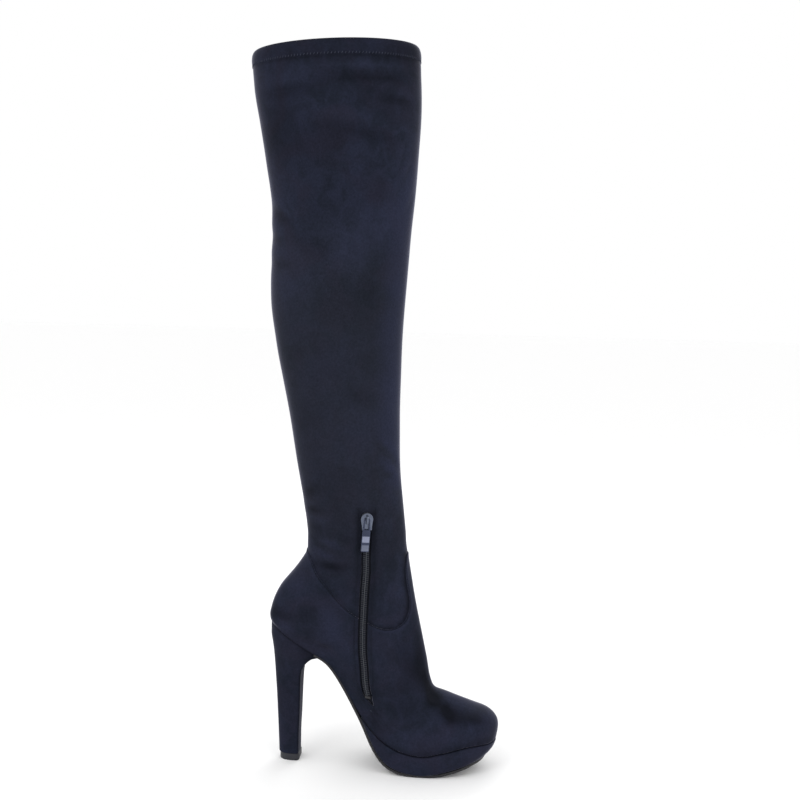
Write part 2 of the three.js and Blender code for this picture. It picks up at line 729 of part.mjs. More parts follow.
const plateFoot = chainRise + gap;
const plateTop = plateFoot + sliderPlate;
const pinOut = plateTop + gap + pinRadius;

// Plate between two heights off the leg, from an outline across and up the zip
function zipPlate(points, low, high) {
  const shape = new THREE.Shape(points.map(([x, y]) => new THREE.Vector2(x, y)));
  const plate = new THREE.ExtrudeGeometry(shape, { depth: high - low, bevelEnabled: false });
  plate.translate(0, 0, low);
  return solidOf(plate);
}

// Bar across the zip, from an outline seen from its side (up, out)
function crossBar(points, width, centre) {
  const shape = new THREE.Shape(points.map(([x, y]) => new THREE.Vector2(x, y)));
  const bar = new THREE.ExtrudeGeometry(shape, { depth: width, bevelEnabled: false });
  const turn = new THREE.Matrix4();
  turn.makeBasis(new THREE.Vector3(0, 1, 0), new THREE.Vector3(0, 0, 1), new THREE.Vector3(1, 0, 0));
  bar.applyMatrix4(turn);
  bar.translate(centre - width / 2, 0, 0);
  return solidOf(bar);
}

function makeSlider() {
  const half = sliderWidth / 2;
  const long = sliderLength / 2;
  const shield = [];
  for (let i = 0; i <= 8; i += 1) {
    const turn = (Math.PI * i) / 8;
    shield.push([half * Math.cos(turn), long - half + half * Math.sin(turn)]);
  }
  shield.push([-half * 0.82, -long * 0.5], [-half * 0.78, -long], [half * 0.78, -long], [half * 0.82, -long * 0.5]);
  let slider = zipPlate(shield, plateFoot, plateTop);
  const inside = chainWidth / 2 + gap;
  [-1, 1].forEach((side) => {
    const middle = side * (inside + flangeThickness / 2);
    const low = middle - flangeThickness / 2;
    const high = middle + flangeThickness / 2;
    const flange = [[low, -long], [high, -long], [high, long * 0.25], [low, long * 0.25]];
    slider = slider.add(zipPlate(flange, gap - shaftWall, plateFoot + gap));
  });
  const under = pinOut + pinRadius + 2 * gap;
  const over = under + bridgeThickness;
  const sink = plateTop - bridgeSink;
  const window = pinRadius + gap;
  const outer = (way) => [[pinRise + way * (window + bridgeFlare + bridgeLeg), sink],
    [pinRise + way * (window + bridgeLeg + bridgeBevel), over - bridgeBevel],
    [pinRise + way * (window + bridgeLeg - bridgeBevel), over]];
  const inner = (way) => [[pinRise + way * window, under], [pinRise + way * (window + bridgeFlare), sink]];
  const bridge = [...outer(1), ...outer(-1).reverse(), ...inner(-1).reverse(), ...inner(1)];
  slider = slider.add(crossBar(bridge, bridgeWidth, 0));
  const mesh = addPiece('zip_slider', geometryOf(slider), navyMetal, 0.35, 0.85);
  mesh.applyMatrix4(sliderFrame());
}

// Pull tab in its own frame, its pin on the axis and its plate hanging down
function makePullTab() {
  const half = tabWidth / 2;
  const legs = tabLength - tabPlateLength;
  const low = -tabThickness / 2;
  const high = tabThickness / 2;
  const neck = bridgeWidth / 2 + tabNeck + gap;
  const foot = -tabLength;
  const plate = [[-half * 0.9, -legs], [-half, -legs - tabShoulder], [-half, foot + tabBevel],
    [-half + tabBevel, foot], [half - tabBevel, foot], [half, foot + tabBevel], [half, -legs - tabShoulder],
    [half * 0.9, -legs]];
  let tab = zipPlate(plate, low, high);
  const legEnd = -legs - gap;
  tab = tab.add(zipPlate([[-half * 0.9, legEnd], [-neck, legEnd], [-neck, 0], [-half * 0.72, 0]], low, high));
  tab = tab.add(zipPlate([[half * 0.9, legEnd], [half * 0.72, 0], [neck, 0], [neck, legEnd]], low, high));
  const pin = [];
  for (let i = 0; i < 12; i += 1) {
    const turn = (Math.PI * i) / 6;
    pin.push([pinRadius * Math.cos(turn), pinRadius * Math.sin(turn)]);
  }
  tab = tab.add(crossBar(pin, tabWidth * 0.72, 0));
  TAB_BANDS.forEach((band) => {
    const edge = half - bandInset;
    const top = -legs - band.from * tabPlateLength;
    const end = -legs - band.to * tabPlateLength;
    tab = tab.add(zipPlate([[-edge, top], [-edge, end], [edge, end], [edge, top]], 0, high + bandRise));
  });
  const mesh = addPiece('zip_pull_tab', geometryOf(tab), navyMetal, 0.35, 0.85);
  const lean = new THREE.Matrix4().makeRotationZ(THREE.MathUtils.degToRad(-tabLean));
  lean.setPosition(0, pinRise, pinOut);
  mesh.applyMatrix4(sliderFrame().multiply(lean));
}

makeShaft();
makeUpper();
makeInsole();
makePlatform();
makeOutsole();
makeHeel();
makeHeelTip();
makeZip();
makeSlider();
makePullTab();

// The origin is at the middle of the boot's foot print, on the floor
const extent = new THREE.Box3().setFromObject(boot, true);
const middle = extent.getCenter(new THREE.Vector3());
boot.position.set(-middle.x, -middle.y, -extent.min.z);

export default boot;
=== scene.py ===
# Thigh high boot for the left foot. The shape functions work in millimetres: X from the back of the
# heel to the toe, the inner side of the leg at -Y, Z up from the floor. Meshes are made in metres.

import json
import math

import bpy
import numpy as np
from mathutils import Matrix, Vector

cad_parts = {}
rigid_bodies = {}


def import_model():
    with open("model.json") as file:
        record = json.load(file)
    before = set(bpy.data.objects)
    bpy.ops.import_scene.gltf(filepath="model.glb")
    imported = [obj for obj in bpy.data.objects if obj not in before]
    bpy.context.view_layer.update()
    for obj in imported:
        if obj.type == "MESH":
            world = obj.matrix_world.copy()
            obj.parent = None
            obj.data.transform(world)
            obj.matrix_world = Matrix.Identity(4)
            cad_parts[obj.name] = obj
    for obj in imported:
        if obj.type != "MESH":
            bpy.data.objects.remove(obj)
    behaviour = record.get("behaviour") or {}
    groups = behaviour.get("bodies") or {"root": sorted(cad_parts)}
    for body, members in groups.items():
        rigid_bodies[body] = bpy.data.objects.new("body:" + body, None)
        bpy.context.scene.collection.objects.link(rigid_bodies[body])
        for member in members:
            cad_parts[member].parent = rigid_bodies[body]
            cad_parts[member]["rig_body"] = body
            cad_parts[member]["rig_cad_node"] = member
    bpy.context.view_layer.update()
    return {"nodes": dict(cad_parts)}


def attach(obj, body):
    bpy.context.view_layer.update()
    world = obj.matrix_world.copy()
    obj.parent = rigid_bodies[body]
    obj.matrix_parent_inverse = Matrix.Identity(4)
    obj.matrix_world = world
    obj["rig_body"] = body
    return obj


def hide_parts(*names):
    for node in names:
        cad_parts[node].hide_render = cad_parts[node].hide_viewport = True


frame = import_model()

MM = 0.001
HEEL_BACK_X = -97.51

# Leg
BOOT_HEIGHT = 672
ANKLE_HEIGHT = 222
ANKLE_DEPTH = 93.7
ANKLE_WIDTH = 73
COLLAR_DEPTH = 155.7
COLLAR_WIDTH = 124
COLLAR_TILT = 9
BACKWARD_LEAN = 30
HEM_HEIGHT = 15
HEM_STEP = 0.6
SHAFT_LENGTH = BOOT_HEIGHT - ANKLE_HEIGHT

# Foot and last
FOOT_LENGTH = 219
BALL_WIDTH = 86
SEAT_HEIGHT = 135
HEEL_ROUNDNESS = 0.7
ANKLE_CENTRE = 0.372 * FOOT_LENGTH

# Layers and heel
VAMP_RISE = 0.7
GAP = 0.3
FEATHER_GAP = 0.45
OUTSOLE_THICKNESS = 2.2
SOLE_START = 0.205
HEEL_TIP_HEIGHT = 6.7
HEEL_TIP_DEPTH = 20
HEEL_TIP_WIDTH = 23.6
HEEL_TOP_WIDTH = 55
HEEL_TIP_SETBACK = 11.8
BREAST_CORNER = 3
HEEL_BOW = 0.6
HEEL_RIM_INSET = 0.06

# Zip
SLOT_WIDTH = 8.6
SLOT_FOOT = 69.5
SLOT_HEAD = 246.5
CHAIN_WIDTH = 5.4
CHAIN_FOOT = 75.2
CHAIN_HEAD = 243
COIL_PITCH = 1.75
LOOP_SIZE = (2.1, COIL_PITCH * 0.42, 1.1)
LOOP_MIDDLE = 1.72
LOOP_OFF = -0.1
HEAD_SIZE = (1.35, COIL_PITCH * 0.4, 1.0)
HEAD_MIDDLE = 0.12
HEAD_OFF = 0.12
TAPE_THICKNESS = 0.2

# Bands of the pull tab: how far they stand out, and their heights above its lower end
BAND_RISE = 0.2
BANDS_MIDDLE = 8
BANDS_TOP = 24

# Cloth and thread
SUEDE_THICKNESS = 1.0
UPPER_THICKNESS = 2.0
THREAD = 0.42
STITCH_LENGTH = 2.3
STITCH_LIFT = 0.05
STITCH_PITCH = 3.1
SEAM_ALLOWANCE = 7
SEAM_STITCH_PITCH = 2.9
HEM_STITCH_PITCH = 2.8
HEM_STITCH_RISE = 1.6
HEM_STITCH_SLANT = 66
HEM_PUCKERS = 38
ZIP_STITCH_FOOT = 3.4
ZIP_STITCH_SIDE = 7.9
TACK_SPOT = (101.8, 60.6)
TACK_STITCHES = 4


def table(columns, *rows):
    """A table's rows, each a dictionary by the names of its columns"""
    return [dict(zip(columns.split(), row)) for row in rows]


# The leg from the ankle at 0 to the collar at 1: lean is a share of the backward lean, depth and width
# are shares of the way from the ankle's to the collar's
SHAFT = table(
    "at lean depth width",
    (0.0, 0.0, 0.0, 0.0),
    (0.064, 0.13, 0.016, 0.08),
    (0.149, 0.318, 0.06, 0.25),
    (0.233, 0.448, 0.153, 0.41),
    (0.317, 0.58, 0.274, 0.55),
    (0.401, 0.703, 0.41, 0.66),
    (0.483, 0.763, 0.526, 0.72),
    (0.616, 0.702, 0.589, 0.76),
    (0.692, 0.67, 0.645, 0.83),
    (0.774, 0.73, 0.774, 0.92),
    (0.854, 0.807, 0.903, 0.97),
    (0.927, 0.918, 0.982, 1.0),
    (1.0, 1.0, 1.0, 1.0),
)

# The foot from the ankle at 0 to the feather edge at 1: back and front are shares of the foot's length,
# their rises shares of the way up to the ankle. Sole is how far the ring follows the sole's outline.
FOOT = table(
    "at back back_rise front front_rise sole",
    (0.0, 0.1585, 1.0, 0.5863, 1.0, 0.0),
    (0.07, 0.158, 0.8, 0.5945, 0.912, 0.0),
    (0.13, 0.131, 0.667, 0.602, 0.855, 0.0),
    (0.2, 0.098, 0.552, 0.611, 0.8, 0.0),
    (0.28, 0.045, 0.385, 0.628, 0.695, 0.0),
    (0.38, 0.0115, 0.195, 0.6515, 0.572, 0.03),
    (0.49, 0.003, 0.086, 0.6862, 0.405, 0.15),
    (0.6, 0.004, 0.052, 0.7265, 0.246, 0.45),
    (0.69, 0.0046, 0.035, 0.7945, 0.2055, 0.7),
    (0.79, 0.0062, 0.023, 0.905, 0.16, 0.9),
    (0.87, 0.0073, 0.014, 0.983, 0.124, 1.0),
    (0.94, 0.0082, 0.006, 1.0105, 0.072, 1.0),
    (1.0, 0.0091, 0.0, 1.0, 0.0, 1.0),
)

# The sole from the heel's back at 0 to the toe at 1: height is a share of the seat's, medial and lateral
# are the inner and outer half widths as shares of an oval's
SOLE = table(
    "at height medial lateral",
    (0.0, 1.0, 1.26, 1.26),
    (0.06, 0.944, 1.12, 1.12),
    (0.12, 0.885, 0.96, 0.97),
    (0.2, 0.815, 0.84, 0.87),
    (0.26, 0.764, 0.77, 0.83),
    (0.3, 0.69, 0.74, 0.815),
    (0.35, 0.561, 0.725, 0.81),
    (0.4, 0.43, 0.73, 0.82),
    (0.44, 0.344, 0.76, 0.84),
    (0.5, 0.246, 0.82, 0.89),
    (0.55, 0.2, 0.89, 0.95),
    (0.6, 0.171, 0.96, 1.01),
    (0.68, 0.156, 1.07, 1.085),
    (0.78, 0.186, 1.165, 1.13),
    (0.9, 0.222, 1.3, 1.17),
    (1.0, 0.215, 1.45, 1.2),
)

# The heel from its tip up: at is a share of the seat's height, back and breast are shares of the tip's
# setback and depth, width is the share of the way from the tip's width to the top's
HEEL = table(
    "at back breast width",
    (0.052, 0.94, 0.95, 0.0),
    (0.185, 0.86, 0.945, 0.03),
    (0.33, 0.76, 0.97, 0.085),
    (0.48, 0.65, 0.985, 0.17),
    (0.59, 0.55, 1.0, 0.27),
    (0.65, 0.5, 1.04, 0.37),
    (0.7, 0.45, 1.18, 0.5),
    (0.735, 0.41, 1.38, 0.63),
    (0.757, 0.385, 1.56, 0.72),
    (0.771, 0.37, 1.78, 0.78),
    (0.778, 0.36, 2.05, 0.81),
    (0.782, 0.355, 2.35, 0.82),
    (0.84, 0.26, 2.4, 0.97),
    (0.92, 0.12, 2.4, 1.0),
    (1.08, 0.12, 2.4, 1.0),
)

# Seam of the upper over the shaft: along is a share of the foot's length, height of the ankle's
SEAM = table(
    "along height",
    (-0.2, 0.93),
    (0.1, 0.925),
    (0.168, 0.918),
    (0.223, 0.84),
    (0.285, 0.775),
    (0.338, 0.716),
    (0.374, 0.681),
    (0.425, 0.655),
    (0.468, 0.632),
    (0.519, 0.616),
    (0.557, 0.622),
    (0.588, 0.642),
    (0.604, 0.675),
    (0.609, 0.714),
    (0.604, 0.748),
    (0.594, 0.799),
    (0.588, 0.849),
    (0.589, 0.897),
    (0.6, 0.925),
    (0.7, 0.935),
)

# Share of the foot's length at which the seam is lowest, under the tongue
TONGUE_FOOT = min(SEAM, key=lambda row: row["height"])["along"]

# Middle of the zip: at is a share of the ankle's height, along of the foot's length
ZIP_RUN = table(
    "at along",
    (0.28, 0.4565),
    (0.329, 0.4505),
    (0.38, 0.4393),
    (0.46, 0.431),
    (0.54, 0.4224),
    (0.626, 0.421),
    (0.707, 0.4228),
    (0.788, 0.4251),
    (0.865, 0.4292),
    (0.937, 0.4279),
    (1.2, 0.4265),
)

# Folded hem at the collar: how far below the rim, and how far off the leg's surface
HEM = table(
    "below off",
    (15.0, -2.3),
    (9.0, -2.4),
    (4.0, -3.0),
    (1.6, -3.6),
    (0.5, -3.5),
    (0.0, -2.8),
    (0.3, -2.0),
    (1.3, -1.0),
    (3.0, -0.1),
    (5.5, 0.6),
    (9.0, 0.9),
    (12.3, 0.7),
    (14.2, 0.1),
    (15.8, 0.1),
    (18.0, 0.3),
)

# Folded edge of the upper along the seam, with the groove that its stitches draw in. Shade is painted
# shade at its edge and in the groove, below zero a painted highlight on the fold.
FOLD = table(
    "inset off shade",
    (0.0, -0.1, 0.9),
    (0.25, 0.5, 0.6),
    (0.8, 1.0, 0.15),
    (1.3, 0.8, 0.2),
    (1.7, 0.45, 0.65),
    (2.1, 0.8, 0.15),
    (2.9, 1.0, -0.35),
    (4.6, 0.85, -0.25),
)

# Creases of the shaft: turn is the angle from the toe in degrees, positive on the inner side.
# Rise is how the crease climbs towards the heel, in degrees.
CREASES = table(
    "turn height length width depth rise",
    (70, 640, 60, 5.0, 0.9, -2),
    (40, 622, 34, 4.5, 0.7, 8),
    (115, 628, 40, 6.0, 0.6, -6),
    (66, 590, 46, 7.0, 0.6, 14),
    (34, 574, 16, 2.6, 0.5, -66),
    (27, 556, 22, 3.0, 0.6, -62),
    (37, 544, 18, 2.8, 0.45, -70),
    (20, 530, 26, 4.0, 0.5, -50),
    (150, 520, 36, 6.0, 1.0, 24),
    (160, 498, 34, 6.0, 1.1, 12),
    (152, 474, 38, 6.0, 0.9, 2),
    (100, 486, 46, 11.0, 0.3, 18),
    (34, 440, 44, 10.0, 0.35, 14),
    (128, 392, 46, 11.0, 0.3, -18),
    (60, 352, 50, 11.0, 0.25, 10),
    (44, 306, 20, 4.5, 0.5, 34),
    (22, 292, 18, 3.5, 0.7, 30),
    (30, 300, 30, 5.0, 0.6, 24),
    (36, 281, 30, 4.5, 0.9, 18),
    (24, 266, 26, 4.5, 0.9, 10),
    (148, 262, 34, 5.0, 0.8, -16),
    (150, 244, 40, 4.5, 1.1, -10),
    (142, 227, 44, 4.5, 1.1, 4),
    (128, 212, 40, 4.5, 1.1, 12),
    (118, 196, 30, 4.0, 0.9, 6),
    (28, 236, 22, 4.0, 0.7, -12),
    (-60, 634, 56, 5.5, 0.8, 4),
    (-110, 604, 44, 7.0, 0.6, -10),
    (-34, 545, 30, 4.5, 0.9, -60),
    (-150, 506, 36, 6.0, 1.0, 16),
    (-156, 482, 36, 6.0, 1.0, 6),
    (-90, 430, 44, 10.0, 0.5, 20),
    (-120, 360, 40, 9.0, 0.5, -14),
    (-36, 292, 34, 5.0, 0.9, 20),
    (-60, 262, 40, 5.5, 0.8, 10),
    (-110, 240, 44, 5.5, 0.9, -8),
    (-146, 222, 36, 4.5, 1.0, 8),
    (-84, 206, 40, 5.5, 0.8, 4),
)

# Troughs of the upper in the side view, each from one spot to the next. Shade is the painted shade
# along it, or below zero a painted highlight. Inner is true where only the inner side has it.
TROUGHS = table(
    "x z width depth shade inner",
    ((144, 151), (112, 90), 5.0, 0.6, 0.25, False),
    ((151, 159), (90, 73), 5.0, 1.2, 0.7, False),
    ((159, 173), (73, 61), 5.0, 1.3, 0.8, False),
    ((173, 202), (61, 56), 4.5, 0.8, 0.6, False),
    ((158, 176), (68, 54), 4.5, 0.0, 0.35, False),
    ((176, 206), (54, 52), 3.5, 0.0, 0.3, False),
    ((164, 200), (77, 64), 4.5, -0.3, -1.2, False),
    ((128, 140), (118, 96), 8.0, 0.7, 0.3, False),
    ((60, 84), (170, 128), 9.0, 0.6, 0.3, False),
    ((101, 107), (66, 44), 2.6, 0.6, 0.6, True),
    ((106, 108), (61, 58), 2.4, 0.7, 0.7, True),
    ((112, 132), (84, 62), 9.0, 0.5, 0.25, True),
    ((201, 202.5), (46, 31), 1.8, 0.4, 0.3, False),
    ((6, 30), (150, 143), 7.0, 0.4, 0.15, False),
)

# Wide patches in the side view, partly the nap's own tone and partly painted shade and painted highlight:
# lighter below zero, darker above it
PATCHES = table(
    "x z wide tall shade",
    (60, 650, 140, 26, 0.22),
    (62, 646, 22, 3.5, 0.3),
    (2, 604, 16, 46, 0.28),
    (60, 588, 90, 60, 0.36),
    (54, 609, 22, 14, -0.22),
    (78, 496, 26, 34, -0.2),
    (52, 270, 34, 50, 0.2),
    (64, 195, 15, 4.5, 0.45),
    (54, 210, 16, 7, -0.6),
    (74, 221, 8, 7, 0.3),
    (44, 226, 10, 6, 0.3),
    (46, 240, 12, 5, -0.3),
    (64, 148, 13, 24, -0.6),
    (30, 172, 22, 18, -0.25),
    (9, 148, 9, 6, 0.5),
    (16, 143, 14, 3.5, 0.25),
    (59, 119.5, 12, 3, 0.4),
    (38, 149, 11, 8, 0.45),
    (42, 131, 5, 11, 0.3),
    (20, 134, 10, 5, -0.45),
    (78, 122, 26, 24, -0.3),
    (157, 78, 6, 13, 0.6),
    (146, 112, 7, 22, 0.4),
    (100, 92, 16, 40, -0.25),
    (136, 84, 18, 34, 0.3),
    (150, 36, 22, 14, -0.2),
    (184, 54, 18, 6, 0.3),
    (196, 66, 26, 7, -0.5),
    (216, 38, 12, 16, 0.2),
    (172, 22, 40, 12, 0.2),
)

# Relief beside the zip, by distance from the middle of its chain: a raised lip, then a groove
ZIP_LIP = table(
    "far wide rise",
    (5.2, 2.2, 0.35),
    (8.4, 1.6, -0.3),
)

# Painted shade of creases, seams, the feather edge, the zip and slider, the hem and the heel:
# 0 is plain cloth, 1 the darkest, below zero a painted highlight
CREASE_SHADE = 0.7
SEAM_SHADE = 0.8
SEAM_SHADE_WIDTH = 2.2
BACK_SEAM_SHADE_SHARE = 0.5
TONGUE_SIDE = (92, 120)
FEATHER_SHADE = 0.3
ZIP_SHADE = 0.45
SLIDER_SHADE = 0.35
ZIP_SHADE_MIDDLE = 6.5
ZIP_SHADE_WIDTH = 3.2
HEM_SHADE = {"cloth": 0.42, "groove": 0.4, "rim": 0.3, "pucker": 0.1}
HEEL_SHADE = {"seat": 0.35, "corner": 0.6, "breast": 0.6}
# Painted rim light down the leg's front and back edges, and the heights between which it shows
FRONT_RIM_LIGHT = 0.8
BACK_RIM_LIGHT = 0.2
RIM_LIGHT_FOOT = (240, 275)
RIM_LIGHT_HEAD = (590, 555)

# Along the middle of the instep's front, and on the outer side, the upper's painted shade is weaker
MIDDLE_FADE = 0.75
MIDDLE_WIDTH = (16, 3)
MIDDLE_START = (130, 150)
OUTER_SHARE = 0.6

# Bulge of the cloth under a crease as a share of its depth, and the slow waves of the slack leg
CREASE_BULGE = 0.55
SLACK = 0.28
SLACK_WAVES = (21, 37)

# Columns of the cloth between the middle of the front, the slot and the middle of the back
FRONT_COLUMNS = 29
SLOT_COLUMNS = 2
BACK_COLUMNS = 25
HALF_COLUMNS = FRONT_COLUMNS + SLOT_COLUMNS + BACK_COLUMNS
SLOT_REACH = 7

# Rows of the shaft above the slot and beside it, of the upper beside the slot and below it
SHAFT_ROWS = 70
SHAFT_SLOT_ROWS = 26
UPPER_SLOT_ROWS = 21
UPPER_LOW_ROWS = 10
HEEL_ROWS = 44
CORE_ROWS = 46

# Steps around the heel's section: its round back, each straight side, each corner and the breast
HEEL_BACK_STEPS = 32
HEEL_SIDE_STEPS = 4
CORNER_STEPS = 4
BREAST_STEPS = 8

# Halvings and rounds in which a spot is closed in on
HALVINGS = 40
SLOT_ROUNDS = 6

# Mean radius of the leg at the seam
SEAM_RADIUS = ANKLE_WIDTH / 2 + 3

# Corners closer than this are one, in metres
MERGE_DISTANCE = 0.00001


def lerp(start, end, share):
    return start + (end - start) * share


def smooth_step(start, end, value):
    u = min(1.0, max(0.0, (value - start) / (end - start)))
    return u * u * (3 - 2 * u)


def curve(rows, column):
    """Smooth function through one column of a table, without overshoot between its rows"""
    at = [row["at"] for row in rows]
    values = [row[column] for row in rows]
    last = len(rows) - 1
    slopes = [(values[k + 1] - values[k]) / (at[k + 1] - at[k]) for k in range(last)]
    tangents = [slopes[0]]
    for before, after in zip(slopes, slopes[1:]):
        tangents.append(2 * before * after / (before + after) if before * after > 0 else 0.0)
    tangents.append(slopes[-1])

    def value(x):
        if x <= at[0]:
            return values[0] + tangents[0] * (x - at[0])
        if x >= at[last]:
            return values[last] + tangents[last] * (x - at[last])
        k = 0
        while x > at[k + 1]:
            k += 1
        span = at[k + 1] - at[k]
        u = (x - at[k]) / span
        fall = (1 + 2 * u) * (1 - u) * (1 - u)
        rise = u * u * (3 - 2 * u)
        leave = u * (1 - u) * (1 - u) * span * tangents[k]
        arrive = u * u * (u - 1) * span * tangents[k + 1]
        return values[k] * fall + values[k + 1] * rise + leave + arrive

    return value


shaft_lean, shaft_depth, shaft_width = (curve(SHAFT, c) for c in ("lean", "depth", "width"))
foot_back, foot_front = curve(FOOT, "back"), curve(FOOT, "front")
foot_back_rise, foot_front_rise = curve(FOOT, "back_rise"), curve(FOOT, "front_rise")
foot_sole = curve(FOOT, "sole")
sole_height, sole_medial, sole_lateral = (curve(SOLE, c) for c in ("height", "medial", "lateral"))
heel_back, heel_breast, heel_width = (curve(HEEL, c) for c in ("back", "breast", "width"))
zip_share = curve(ZIP_RUN, "along")

SEAT_BACK = FOOT[-1]["back"] * FOOT_LENGTH
TOE_TIP_HEIGHT = SOLE[-1]["height"] * SEAT_HEIGHT


def sole_half(share, medial):
    round_share = 2 * math.sqrt(max(0.0, share * (1 - share)))
    return round_share * BALL_WIDTH / 2 * (sole_medial if medial else sole_lateral)(share)


def sole_floor(x):
    return SEAT_HEIGHT * sole_height((x - SEAT_BACK) / (FOOT_LENGTH - SEAT_BACK))


def sole_normal(x):
    step = 1.0
    run = Vector((2 * step, 0, sole_floor(x + step) - sole_floor(x - step))).normalized()
    return Vector((-run.z, 0, run.x))


def ring_ends(down):
    """X of the back and front of the ring around the leg at a station"""
    if down <= 1:
        up = 1 - down
        half = lerp(ANKLE_DEPTH, COLLAR_DEPTH, shaft_depth(up)) / 2
        centre = ANKLE_CENTRE - BACKWARD_LEAN * shaft_lean(up)
        return centre - half, centre + half
    low = down - 1
    below = smooth_step(0, 0.07, low)
    back = lerp(ANKLE_CENTRE - ANKLE_DEPTH / 2, foot_back(low) * FOOT_LENGTH, below)
    front = lerp(ANKLE_CENTRE + ANKLE_DEPTH / 2, foot_front(low) * FOOT_LENGTH, below)
    return back, front


def leg_point(angle, down):
    """Ring around the leg and foot. Down is 0 at the collar, 1 at the ankle, 2 at the feather edge."""
    c, s = math.cos(angle), math.sin(angle)
    back, front = ring_ends(down)
    share = (1 + c) / 2
    x = lerp(back, front, share)
    if down <= 1:
        up = 1 - down
        half = lerp(ANKLE_WIDTH, COLLAR_WIDTH, shaft_width(up)) / 2
        tilt = COLLAR_TILT * c * max(0.0, up - 0.5)
        return Vector((x, -half * s, ANKLE_HEIGHT + up * SHAFT_LENGTH + tilt))
    low = down - 1
    back_z = lerp(SEAT_HEIGHT, ANKLE_HEIGHT, foot_back_rise(low))
    front_z = lerp(TOE_TIP_HEIGHT, ANKLE_HEIGHT, foot_front_rise(low))
    sole = foot_sole(low)
    over = sole_floor(x) + lerp(back_z - sole_floor(back), front_z - sole_floor(front), share)
    z = lerp(lerp(back_z, front_z, share), over, sole)
    cup = lerp(1, HEEL_ROUNDNESS, smooth_step(0.1, 0.35, low)) if c < 0 else 1
    half = lerp(ANKLE_WIDTH / 2 * abs(s) ** cup, sole_half(share, s >= 0), sole)
    return Vector((x, -half if s >= 0 else half, z))


def wall_point(angle, down, off):
    """Point at a distance outside, or below zero inside, the ring surface"""
    turn, step = 0.03, 0.004
    here = leg_point(angle, down)
    around = leg_point(angle + turn, down) - leg_point(angle - turn, down)
    below = leg_point(angle, min(2.0, down + step)) - leg_point(angle, down - step)
    normal = around.cross(below).normalized()
    square = smooth_step(1.85, 2, down)
    if square > 0:
        lift = sole_normal(here.x)
        normal = (normal - lift * (square * normal.dot(lift))).normalized()
    return here + normal * off


def side_spot(x, z):
    """Angle and station of the spot on the inner side that the side view shows at x and z"""
    high, low = 0.0, 1.999
    for _ in range(HALVINGS):
        down = (high + low) / 2
        back, front = ring_ends(down)
        angle = math.acos(min(1.0, max(-1.0, (2 * x - back - front) / (front - back))))
        if leg_point(angle, down).z > z:
            high = down
        else:
            low = down
    return angle, down


def zip_x(z):
    return zip_share(z / ANKLE_HEIGHT) * FOOT_LENGTH


def zip_point(z, across, off):
    angle, down = side_spot(zip_x(z) + across, z)
    return wall_point(angle, down, off)


def seam_line(steps=10):
    """The seam in the side view, from the front to the back, as a smooth line through its table"""
    spots = [Vector((row["along"] * FOOT_LENGTH, row["height"] * ANKLE_HEIGHT)) for row in SEAM]
    spots.reverse()
    line = []
    for k in range(len(spots) - 1):
        p1, p2 = spots[k], spots[k + 1]
        v0 = (p2 - spots[max(0, k - 1)]) / 2
        v1 = (spots[min(len(spots) - 1, k + 2)] - p1) / 2
        for i in range(steps):
            t = i / steps
            cubic = 2 * p1 - 2 * p2 + v0 + v1
            square = 3 * p2 - 3 * p1 - 2 * v0 - v1
            line.append(cubic * t**3 + square * t**2 + v0 * t + p1)
    line.append(spots[-1])
    return line


def seam_half():
    """Angle and station of the cloth's columns where they meet the seam, evenly spaced between
    the front's middle, the two edges of the slot and the back's middle"""
    spots = []
    for x, z in seam_line():
        angle, down = side_spot(x, z)
        if angle <= 0 and spots:
            spots.clear()
        spots.append((angle, down, x - zip_x(z)))
        if angle >= math.pi:
            break
    travel = [0.0]
    for before, after in zip(spots, spots[1:]):
        travel.append(travel[-1] + (leg_point(*after[:2]) - leg_point(*before[:2])).length)
    edge = SLOT_WIDTH / 2
    right = next(s for s, spot in zip(travel, spots) if spot[2] <= edge)
    left = next(s for s, spot in zip(travel, spots) if spot[2] <= -edge)
    marks = [lerp(0, right, k / FRONT_COLUMNS) for k in range(FRONT_COLUMNS)]
    marks += [lerp(right, left, k / SLOT_COLUMNS) for k in range(SLOT_COLUMNS)]
    marks += [lerp(left, travel[-1], k / BACK_COLUMNS) for k in range(BACK_COLUMNS + 1)]
    angles = np.interp(marks, travel, [spot[0] for spot in spots])
    downs = np.interp(marks, travel, [spot[1] for spot in spots])
    angles[0], angles[-1] = 0.0, math.pi
    return [float(a) for a in angles], [float(d) for d in downs]


seam_corners = np.array([tuple(spot) for spot in seam_line()])
seam_angles, seam_downs = seam_half()


def even_angles(right, left):
    """Angles of the columns with the slot's edges at two given ones, evenly spaced between them"""
    angles = [lerp(0, right, k / FRONT_COLUMNS) for k in range(FRONT_COLUMNS)]
    angles += [lerp(right, left, k / SLOT_COLUMNS) for k in range(SLOT_COLUMNS)]
    return angles + [lerp(left, math.pi, k / BACK_COLUMNS) for k in range(BACK_COLUMNS + 1)]


def slot_angle(down, across):
    """Angle at which a ring meets a line beside the zip"""
    back, front = ring_ends(down)
    angle = math.pi / 2
    for _ in range(SLOT_ROUNDS):
        x = zip_x(leg_point(angle, down).z) + across
        angle = math.acos(min(1.0, max(-1.0, (2 * x - back - front) / (front - back))))
    return angle


def row_angles(down):
    """Angles of the columns where they cross a level ring, with the slot's edges beside the zip"""
    return even_angles(slot_angle(down, SLOT_WIDTH / 2), slot_angle(down, -SLOT_WIDTH / 2))


